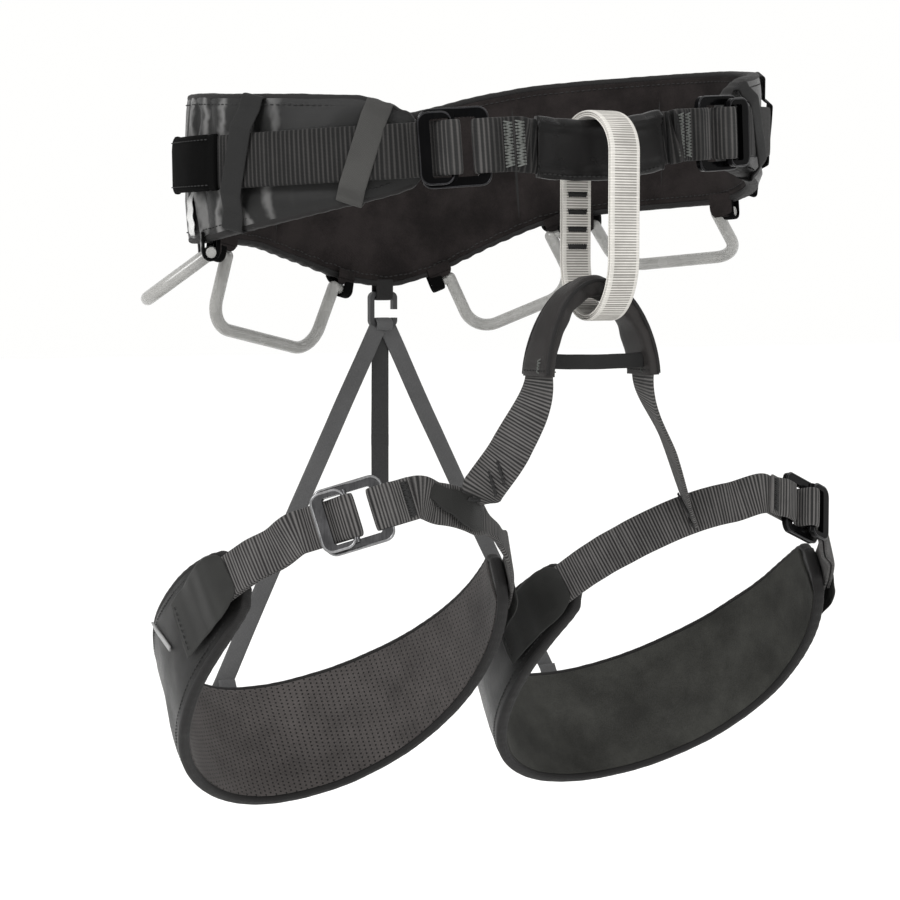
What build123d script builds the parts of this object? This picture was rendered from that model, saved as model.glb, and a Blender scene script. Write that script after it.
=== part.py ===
from build123d import *
from math import cos, radians, sin
import os

# Climbing harness, in millimetres. +Z is up, the wearer faces -Y and +X is the wearer's left.
# The origin is the centre of the waist opening, half way up the waist webbing.

# Waist belt. Angles run round the waist from the front, positive toward the wearer's left.
WAIST_HALF_WIDTH = 146.0  # inside of the lining, centre to hip
WAIST_HALF_DEPTH = 100.0  # inside of the lining, centre to back
BELT_TILT = 0.075  # rise of the belt per millimetre toward the left hip
FRONT_SAG = 5.0  # dip of the webbing between the two buckles
# Angle, and how far the padded belt goes above and below its webbing, from its front end to the middle of the back.
BELT_EDGES = [
    (34, 1.5, 2.5),
    (38, 7.5, 5.5),
    (44, 13.5, 8.5),
    (60, 16.5, 14.5),
    (75, 18.5, 19.5),
    (90, 20.5, 23.5),
    (110, 21.5, 24.5),
    (130, 21.5, 25.5),
    (145, 20.5, 29.5),
    (158, 16.5, 40.5),
    (170, 10.5, 52.5),
    (180, 7.5, 57.5),
]
LINING_THICKNESS = 1.0
FOAM_THICKNESS = 6.0
SHELL_THICKNESS = 1.2
LAYER_GAP = 0.3  # air left between layers that lie on each other
BINDING_HEIGHT = 2.5
LONGEST_STEP = 15.0  # degrees between two sections of a pad

# Webbing and the two-plate buckles
WAIST_WEB_WIDTH = 25.0
LEG_WEB_WIDTH = 20.0
WEB_THICKNESS = 2.0
BUCKLE_ANGLE = 27.5
TAIL_END_ANGLE = 79.0  # where the folded end of the waist tail starts
TAIL_STOP_ANGLE = 104.0
PLATE_THICKNESS = 2.8
WINDOW_CLEARANCE = 1.0  # beside the webbing, in each plate
FRAME_FRONT, FRAME_REAR = -14.5, 18.0  # ends of the base plate along the webbing
FRAME_WINDOW_FRONT, FRAME_WINDOW_REAR = -9.0, 13.0
SLIDER_BAR_AT = 3.5  # round bar that the webbing turns over
SLIDER_REAR = 19.5
SLIDER_BAR_RADIUS = 1.6
PLATE_SIDE = 4.5  # width of each plate's side rail
PLATE_CORNER, WINDOW_CORNER = 5.0, 1.2
SLIDER_RAIL = 5.5  # width of the slider's rear rail, over the webbing's tail
SLIDER_INSET = 1.5  # how much narrower the slider is, each side
BAR_INSET = 3.0  # how far the bar's ends stop inside the base plate's sides
THREADING_REACH = 27.0  # how far the threaded webbing lies flat beyond the buckle

# Waist webbing: angles of its sections beyond the buckle, and its folded tail end
STRAP_ANGLES = [46, 58, 70, 82, 94, 106, 118]
TAIL_ANGLES = [46, 56, 67]
TAIL_FOLD = 1.8  # thickness of the folded end, in webbing thicknesses
TAIL_EXTRA_WIDTH = 1.5

KEEPER_WIDTH = 12.0
KEEPER_THICKNESS = 1.2
KEEPER_INSET = 1.0  # ends inside the belt's edges
KEEPER_CLEARANCE = 1.2  # beside the webbing that it bridges
KEEPER_SLOPE = 2.0  # run of each side of the bridge
KEEPER_BEND = 0.9
FRONT_KEEPER = (41.5, 48.0)  # angles of its top and bottom end
REAR_KEEPER = (70.0, 76.0)

# Tie-in and belay
TIE_IN_ANGLES = [-15, -10, -5, 0, 5, 10, 15]
SLEEVE_HALF_ANGLE = 13.0
SLEEVE_THICKNESS = 1.2
BELAY_WIDTH = 16.0
BELAY_THICKNESS = 3.0
BELAY_HALF_DEPTH = 22.0
BELAY_CROWN_GAP = 1.2  # between the sleeve and the crown of the loop that hangs on it
BELAY_BOTTOM = -84.5
BELAY_ROUND_TOP = 20.0
BELAY_ROUND_BOTTOM = 29.5
BELAY_SHIFT = -1.0  # sideways from the middle of the front webbing

# Leg bridge arch that the belay loop carries
ARCH_CENTRE_X = -5.0
ARCH_HALF_WIDTH = 29.0
ARCH_POINT = 1.2  # 1 is a half ellipse, more is more pointed
ARCH_FOOT_Z = -110.0
ARCH_FOOT_THICKNESS = 5.5
ARCH_FOOT_WIDTH = 22.0
ARCH_TOP_THICKNESS = 10.0
ARCH_TOP_WIDTH = 13.0
PROTECTOR_WALL = 1.6
ARCH_SEAT = 7.8  # arch crown above the bottom of the loop, so that its shoulders rest on the webbing
BAR_HEIGHT = 7.0
BAR_LIFT = 3.5  # above the feet of the arch
BAR_THICKNESS = 1.6
BAR_END_GAP = 2.2  # between each end and the protector
BAR_FORWARD = 4.0  # back face of the bar, in front of the arch's middle
V_LEG_CLEARANCE = 0.2  # over the leg strap's face while the loop rocks
V_LEG_RAISE = 4.0  # lower end above the strap's middle

# Leg loops: each is a ring tilted with its front high, seen from the front (0 degrees) outward.
LEG_HALF_WIDTH = {"right": 79.0, "left": 86.0}
LEG_CENTRE_X = {"right": 87.0, "left": 101.0}
LEG_CENTRE_Z = {"right": -238.0, "left": -245.0}
LEG_CENTRE_Y = -6.0
LEG_HALF_DEPTH = 86.0
LEG_RISE = 70.0
LEG_SIDE_DROP = 5.0
LEG_OUTER_LIFT = {"right": 9.0, "left": 0.0}  # the right loop hangs with its outer side a little up
LEG_LEAN_MIDDLE, LEG_LEAN_SWING = 24.0, 14.0  # degrees that the pad leans back, front to rear
# Angle and width of the leg pad, from its outer end round the back to its crotch end.
LEG_PAD = [
    (62, 28),
    (66, 33),
    (72, 40),
    (80, 46),
    (105, 58),
    (130, 64),
    (155, 66),
    (180, 66),
    (205, 64),
    (230, 58),
    (255, 48),
    (280, 36),
    (288, 32),
    (294, 28),
    (298, 26),
]
LEG_LINING_THICKNESS = 0.8
LEG_FOAM_THICKNESS = 4.4
LEG_SHELL_THICKNESS = 1.0
LEG_JUNCTION_ANGLE = -22.0
LEG_BUCKLE_ANGLE = 22.0
RISER_ANGLE = 176.0
LEG_BINDING = 1.5  # how far the foam stops inside the pad's edges
# Angle and height off the ring of the leg webbing, from the buckle to where it lies on the pad.
OUTER_RAMP = [(48, 2.2)]
OUTER_STRAP_ON_PAD = [55, 62, 68, 74]
STRAP_TAIL_ON_PAD = [55, 60, 64]
INNER_RAMP = [(-8, 0), (-20, 0), (-32, 0.4), (-42, 2.4), (-50, 4.6)]
INNER_STRAP_ON_PAD = [-56, -63, -70]

# Elastic risers and their hook
RISER_WIDTH = 10.0
RISER_THICKNESS = 1.4
ANCHOR_LENGTH = 18.0
HOOK_THICKNESS = 2.6
HOOK_DEPTH = 3.2
HOOK_HEIGHT = 16.2
HOOK_LIP = (3.5, 8.0)  # end of the lip and top of the mouth, above the lowest bar
HOOK_SPARE = 2.0  # beside the riser tape
HOOK_BEND = 2.0
BELT_TAB_HEIGHT = 7.0
RISER_SPREAD = 3.5  # each riser's top beside the middle
TAIL_OFFSET = 2.6  # free tail behind the risers
TAIL_LENGTH = 98.0

# Gear loops: angles of the two ends and how much the lower corner under each is drawn in; drop and outward flare
GEAR_TUBE_RADIUS = 3.3
GEAR_PIN_RADIUS = 2.5
GEAR_PIN_CLEARANCE = 0.06
GEAR_FRONT = {"right": (89.0, 123.0, 3.0, 3.0), "left": (86.0, 135.0, 3.0, -3.0), "drop": 22.0, "flare": 30.0}
GEAR_REAR = {"right": (128.0, 168.5, 3.0, 3.0), "left": (139.5, 169.5, -5.0, 3.0), "drop": 36.0, "flare": 8.0}
GEAR_BEND = 15.0
GEAR_PIN_SHORT = 1.0  # pin end inside the tab's outer face
TAB_LENGTH = 7.0
TAB_HEIGHT = 10.0
TAB_DEPTH = FOAM_THICKNESS + 2.0
TAB_DROP = 0.9  # below the belt's lower edge
TAB_GAP = 1.2  # between a tab and the tube's shoulder

SIDES = {"right": -1, "left": 1}
SHELL_OUTSIDE = LINING_THICKNESS + FOAM_THICKNESS + SHELL_THICKNESS + 2 * LAYER_GAP
WEB_LAYER = SHELL_OUTSIDE + LAYER_GAP + WEB_THICKNESS / 2  # middle of the load webbing
BUCKLE_LEVEL = WEB_LAYER + WEB_THICKNESS / 2 + LAYER_GAP  # back face of a base plate

os.makedirs("parts", exist_ok=True)


def save(name, builder):
    """Labels a finished piece and writes it as one node."""
    builder.part.label = name
    export_step(builder.part, f"parts/{name}.step")


def between(table, at, column):
    """Straight-line value of a table's column at the given first-column value."""
    for low, high in zip(table, table[1:]):
        if low[0] <= at <= high[0]:
            share = (at - low[0]) / (high[0] - low[0])
            return low[column] + share * (high[column] - low[column])
    return table[0][column] if at < table[0][0] else table[-1][column]


def around(angle):
    """The same angle measured from the front either way, 0 to 180."""
    return abs(angle) if abs(angle) <= 180 else 360 - abs(angle)


class Station:
    """A place on a strip: its centre, the way along it, the way out of its face and up its width."""

    def __init__(self, centre, along, outward):
        self.centre = Vector(*centre)
        self.along = Vector(*along).normalized()
        outward = Vector(*outward)
        self.outward = (outward - self.along * outward.dot(self.along)).normalized()
        self.up = self.outward.cross(self.along)
        if self.up.Z < 0:
            self.up = self.up * -1

    def at(self, out=0.0, up=0.0, along=0.0):
        """A point off the station."""
        return self.centre + self.outward * out + self.up * up + self.along * along

    def section(self, out=0.0, up=0.0):
        """The cross-section plane, with X outward and Y up the width."""
        return Plane(origin=self.at(out, up), x_dir=self.outward, z_dir=self.outward.cross(self.up))


def strip(sections, mode=Mode.ADD):
    """Lofts a strip through (plane, thickness, width) sections, inside the part being built."""
    faces = []
    for plane, thickness, width in sections:
        with BuildSketch(plane) as section:
            Rectangle(thickness, width)
        faces.append(section.sketch)
    loft(faces, mode=mode)


def close_steps(angles):
    """The same angles with a middle one added in every step too long for a smooth loft."""
    dense = [angles[0]]
    for low, high in zip(angles, angles[1:]):
        if high - low > LONGEST_STEP:
            dense.append((low + high) / 2)
        dense.append(high)
    return dense


def waist(angle):
    """Station on the inside of the belt."""
    turn = radians(angle)
    x, y = WAIST_HALF_WIDTH * sin(turn), -WAIST_HALF_DEPTH * cos(turn)
    flat = (WAIST_HALF_WIDTH * cos(turn), WAIST_HALF_DEPTH * sin(turn))
    return Station((x, y, BELT_TILT * x), (flat[0], flat[1], BELT_TILT * flat[0]), (flat[1], -flat[0], 0))


def belt_strip(angles, out, thickness, edges):
    """A strip round the belt at a distance out from the lining, with edges(angle) its top and bottom."""
    sections = []
    for angle in angles:
        top, bottom = edges(angle)
        sections.append((waist(angle).section(out, (top + bottom) / 2), thickness, top - bottom))
    strip(sections)


def leg(side, angle):
    """Station on the middle of a leg loop's webbing."""
    turn, sign = radians(angle), SIDES[side]
    x = sign * (LEG_CENTRE_X[side] + LEG_HALF_WIDTH[side] * sin(turn))
    y = LEG_CENTRE_Y - LEG_HALF_DEPTH * cos(turn)
    drop = LEG_SIDE_DROP - (LEG_OUTER_LIFT[side] if sin(turn) > 0 else 0)
    z = LEG_CENTRE_Z[side] + LEG_RISE * cos(turn) - drop * sin(turn) ** 2
    along = Vector(
        sign * LEG_HALF_WIDTH[side] * cos(turn),
        LEG_HALF_DEPTH * sin(turn),
        -LEG_RISE * sin(turn) - drop * sin(2 * turn),
    )
    lean = radians(LEG_LEAN_MIDDLE - LEG_LEAN_SWING * cos(turn))
    upright = Vector(0, sin(lean), cos(lean))
    outward = upright.cross(along) * -sign
    return Station((x, y, z), along, outward)


def both_ways(angles):
    """Angles from the front end of the belt round the back to the other front end."""
    return angles + [360 - angle for angle in reversed(angles[:-1])]


BELT_ANGLES = both_ways(close_steps([row[0] for row in BELT_EDGES]))
PAD_ANGLES = close_steps([row[0] for row in LEG_PAD])

# ---------------------------------------------------------------- padded waist belt


def belt_edges(angle, inset=0.0):
    """Top and bottom edge of the belt, drawn in by an inset."""
    above = between(BELT_EDGES, around(angle), 1)
    below = between(BELT_EDGES, around(angle), 2)
    return WAIST_WEB_WIDTH / 2 + above - inset, -WAIST_WEB_WIDTH / 2 - below + inset


lining_middle = LINING_THICKNESS / 2
foam_middle = LINING_THICKNESS + LAYER_GAP + FOAM_THICKNESS / 2
shell_middle = SHELL_OUTSIDE - SHELL_THICKNESS / 2

with BuildPart() as waist_inner_lining:
    belt_strip(BELT_ANGLES, lining_middle, LINING_THICKNESS, belt_edges)
save("waist_inner_lining", waist_inner_lining)

with BuildPart() as waist_foam_core:
    belt_strip(
        BELT_ANGLES, foam_middle, FOAM_THICKNESS, lambda a: belt_edges(a, BINDING_HEIGHT + LAYER_GAP)
    )
save("waist_foam_core", waist_foam_core)

with BuildPart() as waist_outer_shell:
    belt_strip(BELT_ANGLES, shell_middle, SHELL_THICKNESS, belt_edges)
save("waist_outer_shell", waist_outer_shell)

with BuildPart() as waist_edge_binding:
    for edge, sign in ((0, -1), (1, 1)):
        belt_strip(
            BELT_ANGLES,
            foam_middle,
            FOAM_THICKNESS,
            lambda a: sorted(
                (belt_edges(a)[edge], belt_edges(a)[edge] + sign * BINDING_HEIGHT), reverse=True
            ),
        )
save("waist_edge_binding", waist_edge_binding)

# ---------------------------------------------------------------- buckles and threaded webbing


def buckle_plane(station, sign, out):
    """Plane on a buckle's back face: X along the webbing away from the front, Z outward."""
    return Plane(origin=station.at(out), x_dir=station.along * sign, z_dir=station.outward)


def profile_plane(plane):
    """Plane through a buckle's middle with X along the webbing and Y outward."""
    return Plane(origin=plane.origin, x_dir=plane.x_dir, z_dir=plane.y_dir * -1)


def plate(plane, level, front, rear, half_height, window):
    """A flat ring with rounded corners, between two levels above the buckle plane."""
    middle = (front + rear) / 2
    with BuildSketch(plane.offset(level)) as outline:
        with Locations((middle, 0)):
            RectangleRounded(rear - front, 2 * half_height, PLATE_CORNER)
        window_front, window_rear, window_half = window
        with Locations(((window_front + window_rear) / 2, 0)):
            length = window_rear - window_front
            RectangleRounded(length, 2 * window_half, WINDOW_CORNER, mode=Mode.SUBTRACT)
    extrude(outline.sketch, amount=PLATE_THICKNESS)


def laid_webbing(plane, points, radii, width):
    """Webbing that follows a path in a buckle's profile plane."""
    with BuildSketch(profile_plane(plane)) as profile:
        with BuildLine():
            FilletPolyline(*points, radius=radii)
        trace(line_width=WEB_THICKNESS)
    extrude(profile.sketch, amount=width / 2, both=True)


LOOP_TOP = PLATE_THICKNESS + LAYER_GAP + WEB_THICKNESS  # outside of the sewn loop on the base plate
SLIDER_LEVEL = LOOP_TOP + LAYER_GAP
BAR_LEVEL = SLIDER_LEVEL + PLATE_THICKNESS / 2
LOAD_LEVEL = -LAYER_GAP - WEB_THICKNESS / 2
OVER_LEVEL = PLATE_THICKNESS + LAYER_GAP + WEB_THICKNESS / 2
TAIL_LEVEL = WEB_THICKNESS / 2
TURN_RADIUS = SLIDER_BAR_RADIUS + LAYER_GAP + WEB_THICKNESS / 2


def build_buckle(prefix, plane, web_width):
    """Base plate, slider, threaded webbing and sewn loop of one buckle, in its own plane."""
    window_half = web_width / 2 + WINDOW_CLEARANCE
    half_height = window_half + PLATE_SIDE
    with BuildPart() as frame:
        window = (FRAME_WINDOW_FRONT, FRAME_WINDOW_REAR, window_half)
        plate(plane, 0, FRAME_FRONT, FRAME_REAR, half_height, window)
    save(f"{prefix}_buckle_frame", frame)

    with BuildPart() as slider:
        window = (SLIDER_BAR_AT, SLIDER_REAR - SLIDER_RAIL, window_half)
        plate(plane, SLIDER_LEVEL, SLIDER_BAR_AT, SLIDER_REAR, half_height - SLIDER_INSET, window)
        bar_plane = profile_plane(plane)
        with BuildSketch(bar_plane):
            with Locations((SLIDER_BAR_AT, BAR_LEVEL)):
                Circle(SLIDER_BAR_RADIUS)
        extrude(amount=half_height - BAR_INSET, both=True)
    save(f"{prefix}_buckle_slider", slider)

    with BuildPart() as threading:
        turn_at = SLIDER_BAR_AT - TURN_RADIUS
        crest = BAR_LEVEL + TURN_RADIUS
        points = [
            (THREADING_REACH, LOAD_LEVEL),
            (turn_at, LOAD_LEVEL),
            (turn_at, crest),
            (SLIDER_BAR_AT + 1.5, crest),
            (FRAME_WINDOW_REAR - 1.5, OVER_LEVEL),
            (FRAME_REAR + 1.0, OVER_LEVEL),
            (FRAME_REAR + 4.5, TAIL_LEVEL),
            (THREADING_REACH, TAIL_LEVEL),
        ]
        laid_webbing(plane, points, [1.8, 2.6, 1.8, 2.2, 2.2, 2.2], web_width)
    save(f"{prefix}_strap_threading", threading)

    with BuildPart() as sewn_loop:
        front = -THREADING_REACH
        points = [
            (front, LOAD_LEVEL),
            (FRAME_WINDOW_FRONT + LAYER_GAP + WEB_THICKNESS / 2, LOAD_LEVEL),
            (FRAME_WINDOW_FRONT + LAYER_GAP + WEB_THICKNESS / 2, OVER_LEVEL),
            (FRAME_FRONT - 2.0, OVER_LEVEL),
            (FRAME_FRONT - 7.0, TAIL_LEVEL),
            (front, TAIL_LEVEL),
        ]
        laid_webbing(plane, points, [1.8, 1.8, 3.0, 3.0], web_width)
    save(f"{prefix}_buckle_loop", sewn_loop)


def buckle_end(plane, reach, level):
    """Cross-section of webbing where it leaves a buckle's flat stretch."""
    origin = plane.origin + plane.x_dir * reach + plane.z_dir * level
    up = plane.y_dir if plane.y_dir.Z > 0 else plane.y_dir * -1
    return Plane(origin=origin, x_dir=plane.z_dir, z_dir=plane.z_dir.cross(up))


waist_buckle = {}
for side, sign in SIDES.items():
    waist_buckle[side] = buckle_plane(waist(sign * BUCKLE_ANGLE), sign, BUCKLE_LEVEL)
    build_buckle(f"waist_{side}", waist_buckle[side], WAIST_WEB_WIDTH)

# ---------------------------------------------------------------- waist webbing



def waist_run(side, level, angles, out):
    """Waist webbing from its buckle round to the last angle."""
    planes = [buckle_end(waist_buckle[side], THREADING_REACH, level)]
    planes += [waist(SIDES[side] * angle).section(out) for angle in angles]
    strip([(plane, WEB_THICKNESS, WAIST_WEB_WIDTH) for plane in planes])


for side in SIDES:
    with BuildPart() as waist_strap:
        waist_run(side, LOAD_LEVEL, STRAP_ANGLES, WEB_LAYER)
    save(f"waist_strap_{side}", waist_strap)

    with BuildPart() as waist_tail:
        waist_run(side, TAIL_LEVEL, TAIL_ANGLES + [TAIL_END_ANGLE], BUCKLE_LEVEL + TAIL_LEVEL)
    save(f"waist_tail_{side}", waist_tail)

with BuildPart() as waist_tail_ends:
    for sign in SIDES.values():
        thickness = TAIL_FOLD * WEB_THICKNESS
        sections = []
        for share in (0, 0.25, 0.5, 0.75, 1):
            angle = TAIL_END_ANGLE + share * (TAIL_STOP_ANGLE - TAIL_END_ANGLE)
            plane = waist(sign * angle).section(BUCKLE_LEVEL + thickness / 2)
            sections.append((plane, thickness, WAIST_WEB_WIDTH + TAIL_EXTRA_WIDTH))
        strip(sections)
save("waist_tail_ends", waist_tail_ends)


def keeper(sign, top_angle, bottom_angle):
    """A flat band sewn above and below the waist strap, bridging over it."""
    middle = (top_angle + bottom_angle) / 2
    station = waist(sign * middle)
    top, bottom = belt_edges(middle, KEEPER_INSET)
    slant = WAIST_HALF_WIDTH * radians(top_angle - bottom_angle) / (top - bottom)
    across = (station.up + station.along * (sign * slant)).normalized()
    base = SHELL_OUTSIDE + LAYER_GAP + KEEPER_THICKNESS / 2
    over = BUCKLE_LEVEL + WEB_THICKNESS + 3 * LAYER_GAP + KEEPER_THICKNESS / 2
    stretch = (1 + slant**2) ** 0.5
    top, bottom = top * stretch, bottom * stretch
    half = WAIST_WEB_WIDTH / 2 * stretch + KEEPER_WIDTH / 2 * abs(slant) + KEEPER_CLEARANCE
    plane = Plane(origin=station.centre, x_dir=across, z_dir=across.cross(station.outward))
    with BuildSketch(plane) as bridge:
        with BuildLine():
            points = [
                (bottom, base),
                (-half - KEEPER_SLOPE, base),
                (-half, over),
                (half, over),
                (half + KEEPER_SLOPE, base),
                (top, base),
            ]
            FilletPolyline(*points, radius=KEEPER_BEND)
        trace(line_width=KEEPER_THICKNESS)
    extrude(bridge.sketch, amount=KEEPER_WIDTH / 2, both=True)


for side, sign in SIDES.items():
    with BuildPart() as keepers:
        keeper(sign, *FRONT_KEEPER)
        keeper(sign, *REAR_KEEPER)
    save(f"waist_keepers_{side}", keepers)

# ---------------------------------------------------------------- tie-in point


def front_dip(angle):
    """How far the front webbing hangs below the belt's middle."""
    return -FRONT_SAG * cos(radians(angle * 90 / 17))


with BuildPart() as tie_in_webbing:
    start = buckle_end(waist_buckle["right"], -THREADING_REACH, LOAD_LEVEL)
    finish = buckle_end(waist_buckle["left"], -THREADING_REACH, LOAD_LEVEL)
    sections = [(start, WEB_THICKNESS, WAIST_WEB_WIDTH)]
    for angle in TIE_IN_ANGLES:
        sections.append((waist(angle).section(WEB_LAYER, front_dip(angle)), WEB_THICKNESS, WAIST_WEB_WIDTH))
    sections.append((finish, WEB_THICKNESS, WAIST_WEB_WIDTH))
    strip(sections)
save("tie_in_webbing", tie_in_webbing)

with BuildPart() as tie_in_sleeve:
    shares = (-1, -0.66, -0.33, 0, 0.33, 0.66, 1)
    for extra, mode in ((SLEEVE_THICKNESS, Mode.ADD), (0, Mode.SUBTRACT)):
        grow = 2 * (extra + LAYER_GAP)
        sections = []
        for share in shares:
            angle = share * (SLEEVE_HALF_ANGLE + (0 if extra else 1))
            plane = waist(angle).section(WEB_LAYER, front_dip(angle))
            sections.append((plane, WEB_THICKNESS + grow, WAIST_WEB_WIDTH + grow))
        strip(sections, mode)
save("tie_in_sleeve", tie_in_sleeve)

TIE_IN_Y = -(WAIST_HALF_DEPTH + WEB_LAYER)
SLEEVE_TOP = -FRONT_SAG + WAIST_WEB_WIDTH / 2 + LAYER_GAP + SLEEVE_THICKNESS
BELAY_TOP = SLEEVE_TOP + BELAY_CROWN_GAP + BELAY_THICKNESS


def belay_outline(inset, mode):
    """Outline of the belay loop from the side, drawn in by the webbing's thickness."""
    top, bottom = BELAY_TOP - BELAY_ROUND_TOP, BELAY_BOTTOM + BELAY_ROUND_BOTTOM
    depth = BELAY_HALF_DEPTH - inset
    with Locations((0, (top + bottom) / 2)):
        Rectangle(2 * depth, top - bottom, mode=mode)
    with Locations((0, top)):
        Ellipse(depth, BELAY_ROUND_TOP - inset, mode=mode)
    with Locations((0, bottom)):
        Ellipse(depth, BELAY_ROUND_BOTTOM - inset, mode=mode)


with BuildPart() as belay_loop:
    side_view = Plane(origin=(BELAY_SHIFT, TIE_IN_Y, 0), x_dir=(0, 1, 0), z_dir=(1, 0, 0))
    with BuildSketch(side_view):
        belay_outline(0, Mode.ADD)
        belay_outline(BELAY_THICKNESS, Mode.SUBTRACT)
    extrude(amount=BELAY_WIDTH / 2, both=True)
save("belay_loop", belay_loop)

# ---------------------------------------------------------------- leg bridge

ARCH_RISE = BELAY_BOTTOM + BELAY_THICKNESS + ARCH_SEAT + ARCH_TOP_THICKNESS / 2 - ARCH_FOOT_Z


def arch_sections(inset):
    """Sections of the arch from the right foot over the top to the left foot."""
    sections = []
    for turn in range(0, 181, 20):
        sine, cosine = abs(sin(radians(turn))), cos(radians(turn))
        x = ARCH_CENTRE_X - ARCH_HALF_WIDTH * cosine
        z = ARCH_FOOT_Z + ARCH_RISE * sine**ARCH_POINT
        slope = ARCH_RISE * ARCH_POINT * sine ** (ARCH_POINT - 1) * cosine
        along = (ARCH_HALF_WIDTH * sine, 0, slope if 0 < turn < 180 else cosine)
        share = sine**2
        thickness = ARCH_FOOT_THICKNESS + share * (ARCH_TOP_THICKNESS - ARCH_FOOT_THICKNESS)
        width = ARCH_FOOT_WIDTH + share * (ARCH_TOP_WIDTH - ARCH_FOOT_WIDTH)
        outward = Vector(-along[2], 0, along[0])
        plane = Plane(origin=(x, TIE_IN_Y, z), x_dir=outward, z_dir=along)
        sections.append((plane, thickness - 2 * inset, width - 2 * inset))
    return sections


with BuildPart() as leg_bridge_webbing:
    strip(arch_sections(PROTECTOR_WALL + LAYER_GAP))
save("leg_bridge_webbing", leg_bridge_webbing)

with BuildPart() as leg_bridge_protector:
    strip(arch_sections(0))
    strip(arch_sections(PROTECTOR_WALL), Mode.SUBTRACT)
save("leg_bridge_protector", leg_bridge_protector)

with BuildPart() as leg_bridge_bar:
    span = 2 * (ARCH_HALF_WIDTH - ARCH_FOOT_THICKNESS / 2 - BAR_END_GAP - LAYER_GAP)
    with BuildSketch(Plane.XZ.offset(-TIE_IN_Y + BAR_FORWARD)):
        with Locations((ARCH_CENTRE_X, ARCH_FOOT_Z + BAR_LIFT + BAR_HEIGHT / 2)):
            Rectangle(span, BAR_HEIGHT)
    extrude(amount=BAR_THICKNESS)
save("leg_bridge_bar", leg_bridge_bar)

for side, sign in SIDES.items():
    junction = leg(side, LEG_JUNCTION_ANGLE)
    lift = WEB_THICKNESS / 2 + LAYER_GAP + V_LEG_CLEARANCE
    lower = junction.at(lift + WEB_THICKNESS / 2, V_LEG_RAISE)
    upper = Vector(ARCH_CENTRE_X + sign * ARCH_HALF_WIDTH, TIE_IN_Y, ARCH_FOOT_Z - LAYER_GAP)
    bow = Vector(sign * -0.5, -4.0, -3.0)
    middle = (upper + lower) * 0.5 + bow
    faces = (Vector(sign, -0.1, 0.2), Vector(sign * 0.8, -0.6, 0.3), junction.outward)
    ends = ((upper, Vector(0, 0, -1)), (middle, lower - upper), (lower, lower - middle))
    with BuildPart() as v_leg:
        sections = []
        for (centre, along), face in zip(ends, faces):
            place = Station(centre, along, face)
            plane = Plane(origin=centre, x_dir=place.outward, z_dir=place.along)
            sections.append((plane, WEB_THICKNESS, LEG_WEB_WIDTH))
        strip(sections)
    save(f"v_leg_{side}", v_leg)

# ---------------------------------------------------------------- leg loops

LEG_LAYERS = LEG_LINING_THICKNESS + LEG_FOAM_THICKNESS + LEG_SHELL_THICKNESS + 2 * LAYER_GAP
LEG_INSIDE = -LEG_LAYERS / 2
ANCHOR_OUT = LEG_LAYERS / 2 + LAYER_GAP + RISER_THICKNESS / 2
PAD_TOP = between(LEG_PAD, RISER_ANGLE, 1) / 2
ON_PAD = LEG_LAYERS / 2 + 2 * LAYER_GAP + WEB_THICKNESS / 2  # middle of webbing that lies on the pad
leg_buckle = {}


def pad_layer(side, out, thickness, inset):
    """One layer of a leg pad, with its middle a distance out and its edges drawn in."""
    sections = []
    for angle in PAD_ANGLES:
        width = between(LEG_PAD, angle, 1) - 2 * inset
        sections.append((leg(side, angle).section(out), thickness, width))
    strip(sections)


def leg_run(side, reach, level, places):
    """Leg webbing from its buckle's flat stretch through (angle, out) places round the ring."""
    planes = [buckle_end(leg_buckle[side], reach, level)]
    planes += [leg(side, angle).section(out) for angle, out in places]
    strip([(plane, WEB_THICKNESS, LEG_WEB_WIDTH) for plane in planes])


for side in SIDES:
    with BuildPart() as lining:
        pad_layer(side, LEG_INSIDE + LEG_LINING_THICKNESS / 2, LEG_LINING_THICKNESS, 0)
    save(f"leg_{side}_lining", lining)

    with BuildPart() as foam:
        foam_out = LEG_INSIDE + LEG_LINING_THICKNESS + LAYER_GAP + LEG_FOAM_THICKNESS / 2
        pad_layer(side, foam_out, LEG_FOAM_THICKNESS, LEG_BINDING)
    save(f"leg_{side}_foam_core", foam)

    with BuildPart() as shell:
        pad_layer(side, LEG_INSIDE + LEG_LAYERS - LEG_SHELL_THICKNESS / 2, LEG_SHELL_THICKNESS, 0)
    save(f"leg_{side}_outer_shell", shell)

    leg_buckle[side] = buckle_plane(leg(side, LEG_BUCKLE_ANGLE), 1, WEB_THICKNESS / 2 + LAYER_GAP)
    build_buckle(f"leg_{side}", leg_buckle[side], LEG_WEB_WIDTH)

    with BuildPart() as strap_outer:
        on_pad = [(angle, ON_PAD) for angle in OUTER_STRAP_ON_PAD]
        leg_run(side, THREADING_REACH, LOAD_LEVEL, OUTER_RAMP + on_pad)
    save(f"leg_{side}_strap_outer", strap_outer)

    with BuildPart() as strap_tail:
        on_pad = [(angle, ON_PAD) for angle in STRAP_TAIL_ON_PAD]
        lift = WEB_THICKNESS + LAYER_GAP
        places = [(angle, out + lift) for angle, out in OUTER_RAMP + on_pad]
        leg_run(side, THREADING_REACH, TAIL_LEVEL, places)
    save(f"leg_{side}_strap_tail", strap_tail)

    with BuildPart() as strap_inner:
        on_pad = [(angle, ON_PAD) for angle in INNER_STRAP_ON_PAD]
        leg_run(side, -THREADING_REACH, LOAD_LEVEL, INNER_RAMP + on_pad)
    save(f"leg_{side}_strap_inner", strap_inner)

    anchor = leg(side, RISER_ANGLE)
    with BuildPart() as riser_anchor:
        with BuildSketch(anchor.section(ANCHOR_OUT, PAD_TOP)):
            Rectangle(RISER_THICKNESS, ANCHOR_LENGTH)
        extrude(amount=RISER_WIDTH / 2, both=True)
    save(f"riser_anchor_{side}", riser_anchor)

# ---------------------------------------------------------------- rear risers and their hook

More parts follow.
